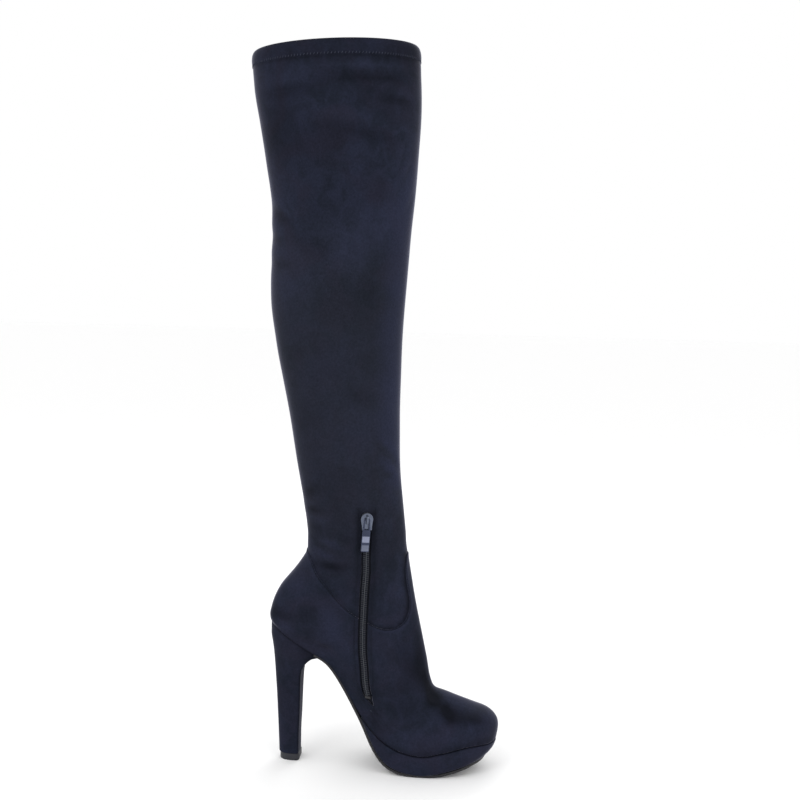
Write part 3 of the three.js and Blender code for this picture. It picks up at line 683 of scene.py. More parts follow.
def seam_inset(inset):
    """The cloth's columns at a distance inside the upper from the seam, as (angle, station)"""
    flat = [Vector((a * SEAM_RADIUS, d * SHAFT_LENGTH)) for a, d in zip(seam_angles, seam_downs)]
    first = Vector((-flat[1].x, flat[1].y))
    last = Vector((2 * math.pi * SEAM_RADIUS - flat[-2].x, flat[-2].y))
    spots = []
    for k, here in enumerate(flat):
        before = flat[k - 1] if k else first
        after = flat[k + 1] if k < HALF_COLUMNS else last
        run = (after - before).normalized()
        edge = min(max(k, FRONT_COLUMNS), FRONT_COLUMNS + SLOT_COLUMNS)
        side = lerp(1, -1, (edge - FRONT_COLUMNS) / SLOT_COLUMNS) * SLOT_WIDTH / 2
        low = seam_downs[edge] + inset / SHAFT_LENGTH
        beside_slot = Vector(((slot_angle(low, side) - seam_angles[edge]) * SEAM_RADIUS, inset))
        inward = Vector((-run.y, run.x)) * inset
        spot = here + inward.lerp(beside_slot, smooth_step(SLOT_REACH, 0, abs(k - edge)))
        spots.append((spot.x / SEAM_RADIUS, spot.y / SHAFT_LENGTH))
    return spots


def seam_distance(x, z):
    """Distance of a spot of the side view from the seam, below zero on the upper's side"""
    spot = np.array((x, z))
    starts, ends = seam_corners[:-1], seam_corners[1:]
    runs = ends - starts
    share = np.clip(((spot - starts) * runs).sum(1) / (runs * runs).sum(1), 0, 1)
    away = spot - starts - runs * share[:, None]
    far = (away * away).sum(1)
    k = int(far.argmin())
    side = runs[k, 0] * away[k, 1] - runs[k, 1] * away[k, 0]
    return math.copysign(math.sqrt(far[k]), -side)


def seam_height(x):
    """Height of the seam behind the tongue at an x"""
    line = [spot for spot in seam_line() if spot.x < TONGUE_FOOT * FOOT_LENGTH]
    line.reverse()
    return float(np.interp(x, [spot.x for spot in line], [spot.y for spot in line]))


def around(half_row):
    """Row of (angle, station) all around from those of the inner half, the outer half mirrored"""
    return half_row + [(2 * math.pi - angle, down) for angle, down in reversed(half_row[:-1])]


def crease_depth(angle, z):
    """How far the shaft's creases draw in, or push out, the cloth at a spot"""
    turn = math.degrees(angle if angle <= math.pi else angle - 2 * math.pi)
    depth = 0.0
    for row in CREASES:
        rise = math.radians(row["rise"])
        along_ring = math.radians(turn - row["turn"]) * COLLAR_WIDTH / 2
        up = z - row["height"]
        along = (along_ring * math.cos(rise) + up * math.sin(rise)) / row["length"]
        across = (up * math.cos(rise) - along_ring * math.sin(rise)) / row["width"]
        if abs(along) < 1 and abs(across) < 4:
            fade = (1 - along * along) ** 2
            bulge = CREASE_BULGE * math.exp(-((across - 1.5) ** 2))
            depth += row["depth"] * fade * (bulge - math.exp(-across * across))
    short, long = SLACK_WAVES
    slack = SLACK * math.sin(z / short + 2.3 * math.sin(angle)) * math.sin(2 * angle + z / long)
    return depth + slack * smooth_step(SLOT_HEAD, SLOT_HEAD + 60, z)


def trough_sum(x, z, inner, column):
    """Depth or shade that the upper's troughs add up to at a spot of the side view"""
    total = 0.0
    for row in TROUGHS:
        if row["inner"] and not inner:
            continue
        start = Vector((row["x"][0], row["z"][0]))
        end = Vector((row["x"][1], row["z"][1]))
        run = end - start
        share = (Vector((x, z)) - start).dot(run) / run.length_squared
        spot = start + run * min(1.0, max(0.0, share))
        far = (Vector((x, z)) - spot).length / row["width"]
        if far < 3:
            total += row[column] * math.exp(-far * far)
    return total


def patch_shade(point):
    """Sum of the wide patches at a spot"""
    total = 0.0
    for row in PATCHES:
        far = ((point.x - row["x"]) / row["wide"]) ** 2 + ((point.z - row["z"]) / row["tall"]) ** 2
        if far < 9:
            total += row["shade"] * math.exp(-far)
    return total


def zip_lip(point):
    """Raised edge of the cloth beside the zip, inside its two rows of stitches"""
    if point.y > 0 or point.z > SLOT_HEAD + 12:
        return 0.0
    far = abs(point.x - zip_x(point.z))
    head = smooth_step(SLOT_HEAD + 8, SLOT_HEAD - 2, point.z)
    foot = smooth_step(SLOT_FOOT - 6, SLOT_FOOT + 4, point.z)
    lip = sum(row["rise"] * math.exp(-(((far - row["far"]) / row["wide"]) ** 2)) for row in ZIP_LIP)
    return lip * head * foot


def seam_shade_share(x):
    """Share of the seam's painted shade: full around the tongue, weaker behind the zip"""
    return lerp(BACK_SEAM_SHADE_SHARE, 1, smooth_step(*TONGUE_SIDE, x))


def painted_rim_light(angle, z):
    """Painted rim light down the leg's front, and a little down its back, between two heights"""
    height = smooth_step(*RIM_LIGHT_FOOT, z) * smooth_step(*RIM_LIGHT_HEAD, z)
    front = FRONT_RIM_LIGHT * smooth_step(0.55, 0.95, math.cos(angle))
    back = BACK_RIM_LIGHT * smooth_step(0.8, 1.0, -math.cos(angle))
    return height * (front + back)


def shaft_shade(angle, down):
    """Painted shade of the shaft at a spot, below zero a painted highlight, with patches of the nap's tone
    """
    here = leg_point(angle, down)
    shade = -CREASE_SHADE * crease_depth(angle, here.z) + patch_shade(here) - painted_rim_light(angle, here.z)
    if here.z < ANKLE_HEIGHT:
        far = seam_distance(here.x, here.z) / SEAM_SHADE_WIDTH
        shade += SEAM_SHADE * seam_shade_share(here.x) * math.exp(-far * far)
    return shade + zip_shade(here)


def upper_shade(angle, down):
    """Painted shade of the upper at a spot, below zero a painted highlight, with patches of the nap's tone
    """
    here = leg_point(angle, down)
    feather = FEATHER_SHADE * smooth_step(1.96, 1.99, down)
    painted_shading_and_tone = trough_sum(here.x, here.z, here.y <= 0, "shade") + patch_shade(here)
    middle = 1 - MIDDLE_FADE * smooth_step(*MIDDLE_WIDTH, abs(here.y)) * smooth_step(*MIDDLE_START, here.x)
    outer = lerp(1, OUTER_SHARE, smooth_step(-10, 10, here.y))
    if painted_shading_and_tone > 0:
        painted_shading_and_tone *= middle * outer
    return painted_shading_and_tone + zip_shade(here) + feather


def zip_shade(point):
    """Painted shadow of the cloth drawn in beside the zip, deeper beside the slider"""
    if point.y > 0:
        return 0.0
    far = abs(point.x - zip_x(point.z))
    head = smooth_step(SLOT_HEAD + 9, SLOT_HEAD, point.z)
    foot = smooth_step(SLOT_FOOT - 10, SLOT_FOOT, point.z)
    beside_slider = smooth_step(SLOT_HEAD - 45, SLOT_HEAD - 30, point.z)
    shade = ZIP_SHADE + SLIDER_SHADE * beside_slider
    return head * foot * shade * math.exp(-(((far - ZIP_SHADE_MIDDLE) / ZIP_SHADE_WIDTH) ** 2))


def shaft_surface(angle, down, off):
    here = leg_point(angle, down)
    free = smooth_step(0, 0.05, down)
    return wall_point(angle, down, off + free * crease_depth(angle, here.z) + zip_lip(here))


def upper_surface(angle, down, off):
    here = leg_point(angle, down)
    trough = trough_sum(here.x, here.z, here.y <= 0, "depth")
    return wall_point(angle, down, off - trough + zip_lip(here))


def to_frame(point):
    return Vector((point.x + HEEL_BACK_X, point.y, point.z)) * MM


def select_only(piece):
    if bpy.context.object and bpy.context.object.mode != "OBJECT":
        bpy.ops.object.mode_set(mode="OBJECT")
    bpy.ops.object.select_all(action="DESELECT")
    piece.select_set(True)
    bpy.context.view_layer.objects.active = piece


def start_edit(piece, action="SELECT", kind=None):
    """Opens a mesh for editing with all of it selected, or none"""
    select_only(piece)
    bpy.ops.object.mode_set(mode="EDIT")
    if kind:
        bpy.ops.mesh.select_mode(type=kind)
    bpy.ops.mesh.select_all(action=action)


def end_edit():
    bpy.ops.object.mode_set(mode="OBJECT")


def delete_faces(piece, wanted):
    """Deletes the faces whose middle passes a test"""
    start_edit(piece, "DESELECT", "FACE")
    end_edit()
    for face in piece.data.polygons:
        middle = sum((piece.data.vertices[v].co for v in face.vertices), Vector()) / len(face.vertices)
        face.select = wanted(middle)
    bpy.ops.object.mode_set(mode="EDIT")
    bpy.ops.mesh.delete(type="FACE")
    end_edit()


def apply_modifier(piece, kind, **settings):
    select_only(piece)
    modifier = piece.modifiers.new(kind.title(), kind)
    for key, value in settings.items():
        setattr(modifier, key, value)
    bpy.ops.object.modifier_apply(modifier=modifier.name)


def subdivide_smoothly(piece, levels):
    apply_modifier(piece, "SUBSURF", levels=levels, render_levels=levels)


def bevel(piece, width, segments, degrees):
    """Rounds the edges that are sharper than an angle"""
    apply_modifier(piece, "BEVEL", width=width * MM, segments=segments, limit_method="ANGLE",
                   angle_limit=math.radians(degrees))


def smooth(piece, degrees=180):
    select_only(piece)
    if degrees < 180:
        bpy.ops.object.shade_smooth_by_angle(angle=math.radians(degrees))
    else:
        bpy.ops.object.shade_smooth()


def finish_piece(piece, node, body, slot, *materials):
    """Hides the node that a piece stands for, hangs it on the body it rides on and gives it its materials
    """
    for material in materials:
        piece.data.materials.append(material)
    if node:
        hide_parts(node)
    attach(piece, body)
    return piece


def wrapped_sheet(name, rows, closed=True, shades=None):
    """Sheet of cells laid on rows of points: cut flat as a grid, wrapped, and sewn where it closes.
    Shades gives, corner by corner, the painted shade on it, below zero a painted highlight, with some
    patches of the nap's own tone."""
    across, down = len(rows[0]) - 1, len(rows) - 1
    bpy.ops.mesh.primitive_grid_add(x_subdivisions=across, y_subdivisions=down, size=2)
    sheet = bpy.context.object
    sheet.name = name
    sheet.data.name = name
    # Attribute of painted shade and painted highlight, with some patches of the nap's tone
    painted_shading_and_tone = sheet.data.attributes.new("painted_shading_and_tone", "FLOAT", "POINT") if shades else None
    for vertex in sheet.data.vertices:
        i = round((vertex.co.x + 1) / 2 * across)
        j = round((vertex.co.y + 1) / 2 * down)
        vertex.co = to_frame(rows[j][i])
        if shades:
            painted_shading_and_tone.data[vertex.index].value = shades[j][i]
    if closed:
        start_edit(sheet)
        bpy.ops.mesh.remove_doubles(threshold=MERGE_DISTANCE)
        bpy.ops.mesh.normals_make_consistent(inside=False)
        end_edit()
    return sheet


def cut_out(sheet, rows, columns, levels):
    """Cuts the cells between two columns and two rows out of a sheet"""
    centres = set()
    for j in range(levels[0], levels[1]):
        for i in range(columns[0], columns[1]):
            cell = [to_frame(rows[b][a]) for a, b in ((i, j), (i + 1, j), (i + 1, j + 1), (i, j + 1))]
            centres.add(tuple(round(v, 5) for v in sum(cell, Vector()) / 4))
    delete_faces(sheet, lambda middle: tuple(round(v, 5) for v in middle) in centres)


def station_of(z):
    return 1 - (z - ANKLE_HEIGHT) / SHAFT_LENGTH


def level_row(down):
    return around([(angle, down) for angle in row_angles(max(down, station_of(SLOT_HEAD)))])


def hem_shade(row, angle):
    """Painted shade of the hem: darkest in the groove at its foot and at the rim, with painted shade and
    highlight of little puckers between
    """
    groove = math.exp(-(((row["below"] - 15.2) / 1.2) ** 2))
    rim = math.exp(-((row["below"] / 1.2) ** 2))
    pucker = math.sin(HEM_PUCKERS * angle) + 0.6 * math.sin(1.7 * HEM_PUCKERS * angle + 1)
    puckers = HEM_SHADE["pucker"] * pucker * smooth_step(3, 14, row["below"])
    return HEM_SHADE["cloth"] + HEM_SHADE["groove"] * groove + HEM_SHADE["rim"] * rim + puckers


def cut_below_seam(sheet, allowance):
    """Cuts off what lies further under the upper than the seam's allowance"""
    def hidden(middle):
        x, z = middle.x / MM - HEEL_BACK_X, middle.z / MM
        return z < ANKLE_HEIGHT and seam_distance(x, z) < -allowance

    delete_faces(sheet, hidden)


def make_shaft():
    rows = []
    shades = []
    for row in HEM:
        down = row["below"] / SHAFT_LENGTH
        rows.append([wall_point(angle, down, row["off"]) for angle, _ in level_row(down)])
        shades.append([hem_shade(row, angle) for angle, _ in level_row(down)])
    first = HEM[-1]["below"] / SHAFT_LENGTH
    head = station_of(SLOT_HEAD)
    last = max(seam_downs) + SEAM_ALLOWANCE / SHAFT_LENGTH
    stations = [lerp(first, head, k / SHAFT_ROWS) for k in range(1, SHAFT_ROWS + 1)]
    stations += [lerp(head, last, k / SHAFT_SLOT_ROWS) for k in range(1, SHAFT_SLOT_ROWS + 1)]
    rows += [[shaft_surface(*spot, 0) for spot in level_row(down)] for down in stations]
    shades += [[shaft_shade(*spot) for spot in level_row(down)] for down in stations]
    slot_start = len(HEM) + SHAFT_ROWS - 1
    shaft = wrapped_sheet("suede_shaft", rows, shades=shades)
    cut_out(shaft, rows, (FRONT_COLUMNS, FRONT_COLUMNS + SLOT_COLUMNS), (slot_start, len(rows) - 1))
    cut_below_seam(shaft, SEAM_ALLOWANCE)
    apply_modifier(shaft, "SOLIDIFY", thickness=SUEDE_THICKNESS * MM, offset=-1, material_offset=1)
    subdivide_smoothly(shaft, 1)
    smooth(shaft)
    finish_piece(shaft, "shaft", "boot", "suede", materials["suede"], materials["lining"])


def make_upper():
    rows = []
    shades = []
    for row in FOLD:
        line = around(seam_inset(row["inset"]))
        rows.append([upper_surface(*spot, row["off"]) for spot in line])
        # Painted shade of the fold's edge and groove, and painted highlight on its top
        fold = [row["shade"] * seam_shade_share(leg_point(*spot).x) for spot in line]
        shades.append([upper_shade(*spot) + shade for spot, shade in zip(line, fold)])
    inner = seam_inset(FOLD[-1]["inset"])
    start = [spot[0] for spot in inner]
    for k in range(FRONT_COLUMNS - 1, -1, -1):
        start[k] = min(start[k], start[k + 1] - 0.002)
    even = even_angles(start[FRONT_COLUMNS], start[FRONT_COLUMNS + SLOT_COLUMNS])
    shift = [a - b for a, b in zip(start, even)]
    slot_foot_down = side_spot(zip_x(SLOT_FOOT), SLOT_FOOT)[1]
    slot_share = (slot_foot_down - inner[FRONT_COLUMNS + 1][1]) / (2 - inner[FRONT_COLUMNS + 1][1])
    shares = [lerp(0.012, slot_share, k / UPPER_SLOT_ROWS) for k in range(UPPER_SLOT_ROWS + 1)]
    slot_end = len(FOLD) + len(shares) - 1
    shares += [lerp(slot_share, 0.985, k / UPPER_LOW_ROWS) for k in range(1, UPPER_LOW_ROWS + 1)]
    shares += [0.995, 1.0]
    seam_foot = max(seam_downs)
    for share in shares:
        half_row = []
        for k, spot in enumerate(inner):
            down = lerp(spot[1], 2, share)
            spread = 1 - smooth_step(seam_foot, 1.97, down)
            half_row.append((row_angles(min(down, slot_foot_down))[k] + spread * shift[k], down))
        rows.append([upper_surface(*spot, VAMP_RISE) for spot in around(half_row)])
        shades.append([upper_shade(*spot) for spot in around(half_row)])
    upper = wrapped_sheet("suede_upper", rows, shades=shades)
    cut_out(upper, rows, (FRONT_COLUMNS, FRONT_COLUMNS + SLOT_COLUMNS), (0, slot_end))
    apply_modifier(upper, "SOLIDIFY", thickness=UPPER_THICKNESS * MM, offset=-1, material_offset=1)
    subdivide_smoothly(upper, 1)
    smooth(upper)
    finish_piece(upper, "upper", "boot", "suede", materials["suede"], materials["lining"])


def heel_outline(share):
    """Level section of the heel, round at the back and flat at the breast, from its table"""
    back = heel_back(share) * HEEL_TIP_SETBACK
    breast = HEEL_TIP_SETBACK + heel_breast(share) * HEEL_TIP_DEPTH
    half = lerp(HEEL_TIP_WIDTH, HEEL_TOP_WIDTH, heel_width(share)) / 2
    bow = min(half, (breast - back) * HEEL_BOW)
    corner = min(BREAST_CORNER, half / 4)
    points = []
    for k in range(HEEL_BACK_STEPS + 1):
        turn = -math.pi / 2 + math.pi * k / HEEL_BACK_STEPS
        points.append((back + bow - bow * math.cos(turn), half * math.sin(turn)))
    side = [lerp(back + bow, breast - corner, k / HEEL_SIDE_STEPS) for k in range(1, HEEL_SIDE_STEPS)]
    points += [(x, half) for x in side]
    for k in range(CORNER_STEPS + 1):
        turn = math.pi / 2 * (1 - k / CORNER_STEPS)
        points.append((breast - corner + corner * math.cos(turn), half - corner + corner * math.sin(turn)))
    flat = [lerp(half - corner, corner - half, k / BREAST_STEPS) for k in range(1, BREAST_STEPS)]
    points += [(breast, y) for y in flat]
    for k in range(CORNER_STEPS + 1):
        turn = -math.pi / 2 * (k / CORNER_STEPS)
        points.append((breast - corner + corner * math.cos(turn), corner - half + corner * math.sin(turn)))
    points += [(x, -half) for x in reversed(side)]
    return points + points[:1]


def heel_ceiling(x):
    """Height at which the heel meets the upper's feather edge, or the outsole in front of it"""
    start = lerp(SEAT_BACK, FOOT_LENGTH, SOLE_START)
    drop = FEATHER_GAP + (OUTSOLE_THICKNESS + GAP) * smooth_step(start - 1.5, start, x)
    return sole_floor(x) - drop


def heel_shade(point, top):
    """Painted shade on the cover where it meets the upper, in the arch's corner and over the flat breast
    """
    seat = HEEL_SHADE["seat"] * smooth_step(top - 2, top, point.z)
    corner = HEEL_SHADE["corner"] * smooth_step(top - 16, top - 2, point.z) * smooth_step(26, 44, point.x)
    breast_x = HEEL_TIP_SETBACK + heel_breast(point.z / SEAT_HEIGHT) * HEEL_TIP_DEPTH
    return seat + corner + HEEL_SHADE["breast"] * smooth_step(breast_x - 1.5, breast_x, point.x)


def make_heel():
    columns = []
    start = (HEEL_TIP_HEIGHT + GAP) / SEAT_HEIGHT
    for k in range(len(heel_outline(start))):
        low, high = start, HEEL[-1]["at"]
        for _ in range(HALVINGS):
            share = (low + high) / 2
            if share * SEAT_HEIGHT < heel_ceiling(heel_outline(share)[k][0]):
                low = share
            else:
                high = share
        columns.append(low)
    rows = []
    for j in range(HEEL_ROWS + 1):
        row = []
        for k, top in enumerate(columns):
            share = lerp(top, start, j / HEEL_ROWS)
            x, y = heel_outline(share)[k]
            row.append(Vector((x, y, share * SEAT_HEIGHT)))
        rows.append(row)
    foot = rows[-1][0].z
    middle = Vector((HEEL_TIP_SETBACK + HEEL_TIP_DEPTH / 2, 0, foot))
    rows.append([point.lerp(middle, HEEL_RIM_INSET) for point in rows[-1]])
    shades = [[heel_shade(point, top * SEAT_HEIGHT) for point, top in zip(row, columns)] for row in rows]
    heel = wrapped_sheet("suede_heel", rows, shades=shades)
    start_edit(heel, "DESELECT", "EDGE")
    bpy.ops.mesh.select_non_manifold()
    bpy.ops.mesh.fill_holes(sides=0)
    bpy.ops.mesh.select_all(action="SELECT")
    bpy.ops.mesh.normals_make_consistent(inside=False)
    end_edit()
    smooth(heel, 50)
    finish_piece(heel, "heel", "boot", "suede", materials["heel_suede"])


def merged_copy(node, name):
    """Copy of a construction solid with its corners merged and its triangles joined to quads"""
    piece = frame["nodes"][node].copy()
    piece.data = frame["nodes"][node].data.copy()
    piece.name = name
    piece.data.name = name
    piece.parent = None
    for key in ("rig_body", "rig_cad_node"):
        del piece[key]
    piece.data.materials.clear()
    bpy.context.scene.collection.objects.link(piece)
    start_edit(piece)
    bpy.ops.mesh.remove_doubles(threshold=MERGE_DISTANCE)
    bpy.ops.mesh.tris_convert_to_quads(face_threshold=math.radians(40), shape_threshold=math.radians(60))
    bpy.ops.mesh.customdata_custom_splitnormals_clear()
    end_edit()
    return piece


def crease_edges(piece, degrees):
    """Holds the edges that are sharper than an angle through the smoothing"""
    start_edit(piece, "DESELECT", "EDGE")
    bpy.ops.mesh.edges_select_sharp(sharpness=math.radians(degrees))
    bpy.ops.transform.edge_crease(value=1)
    end_edit()


def make_platform():
    platform = merged_copy("platform", "suede_platform")
    crease_edges(platform, 55)
    subdivide_smoothly(platform, 2)
    smooth(platform, 45)
    finish_piece(platform, "platform", "boot", "suede", materials["suede"])


def make_outsole():
    outsole = merged_copy("outsole", "rubber_outsole")
    crease_edges(outsole, 40)
    subdivide_smoothly(outsole, 1)
    bevel(outsole, 0.4, 2, 50)
    smooth(outsole, 40)
    finish_piece(outsole, "outsole", "boot", "outsole_rubber", materials["rubber"])


def make_bevelled(node, name, body, slot, material, width):
    """Copy of a solid with its flat faces made whole and its edges rounded"""
    piece = merged_copy(node, name)
    start_edit(piece)
    bpy.ops.mesh.dissolve_limited(angle_limit=math.radians(1))
    end_edit()
    bevel(piece, width, 3, 35)
    smooth(piece, 35)
    return finish_piece(piece, node, body, slot, material)


def make_pull_tab():
    """Dark lacquered tab with two raised bands of brighter metal, the lower one less bright; their colours
    partly paint the reflections the bands catch
    """
    tab = make_bevelled("zip_pull_tab", "pull_tab", "pull_tab", "navy_metal", materials["metal"], 0.2)
    tab.data.materials.append(materials["bright_band_painted_reflection"])
    tab.data.materials.append(materials["dim_band_painted_reflection"])
    out = max(tab.data.polygons, key=lambda face: face.area).normal
    out = out if out.y < 0 else -out
    top = max(vertex.co.dot(out) for vertex in tab.data.vertices)
    low = min(vertex.co.z for vertex in tab.data.vertices)
    for face in tab.data.polygons:
        height = face.center.z - low
        if face.center.dot(out) > top - BAND_RISE * MM and height < BANDS_TOP * MM:
            face.material_index = 2 if height < BANDS_MIDDLE * MM else 1


def lay_copies(name, seed, places):
    """One mesh of many copies of a seed mesh, each in its own place"""
    corners = np.array([vertex.co for vertex in seed.data.vertices])
    faces = [tuple(face.vertices) for face in seed.data.polygons]
    all_corners, all_faces = [], []
    for k, place in enumerate(places):
        turn = np.array(place)
        all_corners.append(corners @ turn[:3, :3].T + turn[:3, 3])
        all_faces += [tuple(v + k * len(corners) for v in face) for face in faces]
    mesh = bpy.data.meshes.new(name)
    mesh.from_pydata(np.concatenate(all_corners).tolist(), [], all_faces)
    piece = bpy.data.objects.new(name, mesh)
    bpy.context.scene.collection.objects.link(piece)
    bpy.data.objects.remove(seed)
    smooth(piece)
    return piece


def capsule(name, length, width, height):
    """Small rounded bar along X"""
    bpy.ops.mesh.primitive_uv_sphere_add(segments=8, ring_count=6, radius=1)
    bar = bpy.context.object
    bar.name = name
    start_edit(bar)
    bpy.ops.transform.rotate(value=math.pi / 2, orient_axis="Y", center_override=(0, 0, 0))
    bpy.ops.transform.resize(value=(length / 2 * MM, width / 2 * MM, height / 2 * MM))
    end_edit()
    return bar


def frame_on(point, ahead, outside):
    """Place on a surface: X along the line ahead, Z out of the surface"""
    x = (ahead - point).normalized()
    z = outside - point
    z = (z - x * z.dot(x)).normalized()
    y = z.cross(x)
    place = Matrix((x, y, z)).transposed().to_4x4()
    place.translation = to_frame(point)
    return place


def stitch_places(spot, start, end, pitch=STITCH_PITCH):
    """Places of stitches along a line: spot(s, off) is its point at a travel s"""
    places = []
    for k in range(int((end - start) / pitch)):
        s = start + (k + 0.5) * pitch
        here, ahead = spot(s, STITCH_LIFT), spot(s + 0.8, STITCH_LIFT)
        places.append(frame_on(here, ahead, spot(s, STITCH_LIFT + 1)))
    return places


def lay_stitches(name, places, thread):
    seed = capsule("stitch", STITCH_LENGTH, THREAD * 1.3, THREAD)
    finish_piece(lay_copies(name, seed, places), None, "boot", "suede", materials[thread])


def make_hem_stitches():
    ring = 2 * math.pi * (COLLAR_DEPTH + COLLAR_WIDTH) / 4
    hem_down = (HEM_HEIGHT - HEM_STITCH_RISE) / SHAFT_LENGTH

    def hem_spot(s, off):
        return wall_point(s / ring * 2 * math.pi, hem_down, HEM_STEP * 0.75 + off)

    slant = Matrix.Rotation(math.radians(HEM_STITCH_SLANT), 4, "Z")
    places = [place @ slant for place in stitch_places(hem_spot, 0, ring, HEM_STITCH_PITCH)]
    lay_stitches("hem_stitches", places, "hem_thread")


def make_tack():
    """Bar of a few stitches that holds the cloth together under the zip"""
    places = []
    for k in range(TACK_STITCHES):
        x, z = TACK_SPOT[0] + k * THREAD, TACK_SPOT[1] - k * THREAD
        here = upper_surface(*side_spot(x, z), VAMP_RISE + 0.1)
        ahead = upper_surface(*side_spot(x + 1, z), VAMP_RISE + 0.1)
        outside = upper_surface(*side_spot(x, z), VAMP_RISE + 1.1)
        places.append(frame_on(here, ahead, outside))
    lay_stitches("tack", places, "hem_thread")


def make_zip_stitches():
    """A row on each side of the zip, closing in to its foot"""
    places = []
    for side in (-1, 1):
        def zip_spot(z, off, side=side):
            narrow = smooth_step(SLOT_FOOT - 2, SLOT_FOOT + 24, z)
            across = side * lerp(ZIP_STITCH_FOOT, ZIP_STITCH_SIDE, narrow)
            angle, down = side_spot(zip_x(z) + across, z)
            step = VAMP_RISE if z < seam_height(zip_x(z) + across) else 0
            return wall_point(angle, down, step + zip_lip(leg_point(angle, down)) + off)

        places += stitch_places(zip_spot, SLOT_FOOT - 1, SLOT_HEAD + 5)
    lay_stitches("stitches", places, "thread")


def make_seam_stitches():
    """Stitches in the groove of the upper's folded edge, which stop at the zip"""
    groove = FOLD[4]
    line = around(seam_inset(groove["inset"]))
    spots = [upper_surface(*spot, groove["off"]) for spot in line]
    outer = [upper_surface(*spot, groove["off"] + 1) for spot in line]
    travel = [0.0]
    for before, after in zip(spots, spots[1:]):
        travel.append(travel[-1] + (after - before).length)

    def seam_spot(s, off):
        low = Vector([np.interp(s, travel, [p[axis] for p in spots]) for axis in range(3)])
        high = Vector([np.interp(s, travel, [p[axis] for p in outer]) for axis in range(3)])
        return low.lerp(high, off)

    places = []
    for place in stitch_places(seam_spot, 0, travel[-1], SEAM_STITCH_PITCH):
        spot = place.translation / MM
        if spot.y > 0 or abs(spot.x - HEEL_BACK_X - zip_x(spot.z)) > SLOT_WIDTH / 2 + 1:
            places.append(place)
    lay_stitches("seam_stitches", places, "seam_thread")


def make_coil():
    """The closed zip's coil: a row of loops on each side and their heads locked along the middle"""
    loops, heads = [], []
    for k in range(int((CHAIN_HEAD - CHAIN_FOOT) / COIL_PITCH)):
        low = CHAIN_FOOT + 0.5 + k * COIL_PITCH
        for side, z in ((-1, low), (1, low + COIL_PITCH / 2)):
            for places, middle, off in ((loops, LOOP_MIDDLE, LOOP_OFF), (heads, HEAD_MIDDLE, HEAD_OFF)):
                here = zip_point(z, side * middle, off)
                ahead = zip_point(z, side * middle + 1, off)
                places.append(frame_on(here, ahead, zip_point(z, side * middle, off + 1)))
    coil = lay_copies("zip_loops", capsule("loop", *LOOP_SIZE), loops)
    finish_piece(coil, "zip_chain", "boot", "zip_coil", materials["coil"])
    # The heads' lighter colour is partly a painted highlight along the coil's middle ridge
    middle = lay_copies("zip_heads", capsule("head", *HEAD_SIZE), heads)
    finish_piece(middle, None, "boot", "zip_coil", materials["coil_heads_painted_highlight"])


def make_zip_core():
    """Folded tape that fills the coil from behind"""
    half = CHAIN_WIDTH / 2
    inner_half = [(0, -0.5), (half - 0.4, -0.35), (half + 0.2, -0.9), (half, -1.9)]
    section = [(-across, off) for across, off in reversed(inner_half[1:])] + inner_half
    rows = []
    for k in range(CORE_ROWS + 1):
        z = lerp(CHAIN_FOOT, CHAIN_HEAD, k / CORE_ROWS)
        rows.append([zip_point(z, across, off) for across, off in section])
    core = wrapped_sheet("zip_core", rows, closed=False)
    apply_modifier(core, "SOLIDIFY", thickness=TAPE_THICKNESS * MM, offset=-1)
    smooth(core, 60)
    finish_piece(core, None, "boot", "zip_tape", materials["tape"])


# Materials

def new_group(name, inputs, outputs):
    group = bpy.data.node_groups.new(name, "ShaderNodeTree")
    kinds = {"colour": "NodeSocketColor", "value": "NodeSocketFloat", "vector": "NodeSocketVector"}
    for socket, (kind, value) in inputs.items():
        made = group.interface.new_socket(socket, in_out="INPUT", socket_type=kinds[kind])
        if value is not None:
            made.default_value = value
    for socket, kind in outputs.items():
        group.interface.new_socket(socket, in_out="OUTPUT", socket_type=kinds[kind])
    start = group.nodes.new("NodeGroupInput")
    end = group.nodes.new("NodeGroupOutput")
    return group, start.outputs, end.inputs


def feed(tree, value, socket):
    """Sets a socket to a value, or links the output that gives it"""
    if isinstance(value, (int, float, tuple)):
        socket.default_value = value
    else:
        tree.links.new(value, socket)


def noise(tree, vector, scale, detail, roughness=0.5, distortion=0.0):
    node = tree.nodes.new("ShaderNodeTexNoise")
    feed(tree, vector, node.inputs["Vector"])
    feed(tree, scale, node.inputs["Scale"])
    feed(tree, detail, node.inputs["Detail"])
    feed(tree, roughness, node.inputs["Roughness"])
    feed(tree, distortion, node.inputs["Distortion"])
    return node.outputs["Fac"]


def remap(tree, value, low, high, to_low=0.0, to_high=1.0):
    node = tree.nodes.new("ShaderNodeMapRange")
    feed(tree, value, node.inputs["Value"])
    for key, number in (("From Min", low), ("From Max", high), ("To Min", to_low), ("To Max", to_high)):
        feed(tree, number, node.inputs[key])
    return node.outputs["Result"]


def mix_colours(tree, share, first, second):
    node = tree.nodes.new("ShaderNodeMix")
    node.data_type = "RGBA"
    share_socket, first_socket, second_socket = (node.inputs[k] for k in (0, 6, 7))
    feed(tree, share, share_socket)
    feed(tree, first, first_socket)
    feed(tree, second, second_socket)
    return node.outputs[2]


def maths(tree, operation, first, second=None):
    node = tree.nodes.new("ShaderNodeMath")
    node.operation = operation
    feed(tree, first, node.inputs[0])
    if second is not None:
        feed(tree, second, node.inputs[1])
    return node.outputs[0]


def weighted(tree, first, first_share, second, second_share):
    """Sum of two values, each times its share"""
    return maths(tree, "ADD", maths(tree, "MULTIPLY", first, first_share),
                 maths(tree, "MULTIPLY", second, second_share))


def vector_maths(tree, operation, vector, key, value):
    node = tree.nodes.new("ShaderNodeVectorMath")
    node.operation = operation
    feed(tree, vector, node.inputs[0])
    feed(tree, value, node.inputs[key])
    return node.outputs[0]


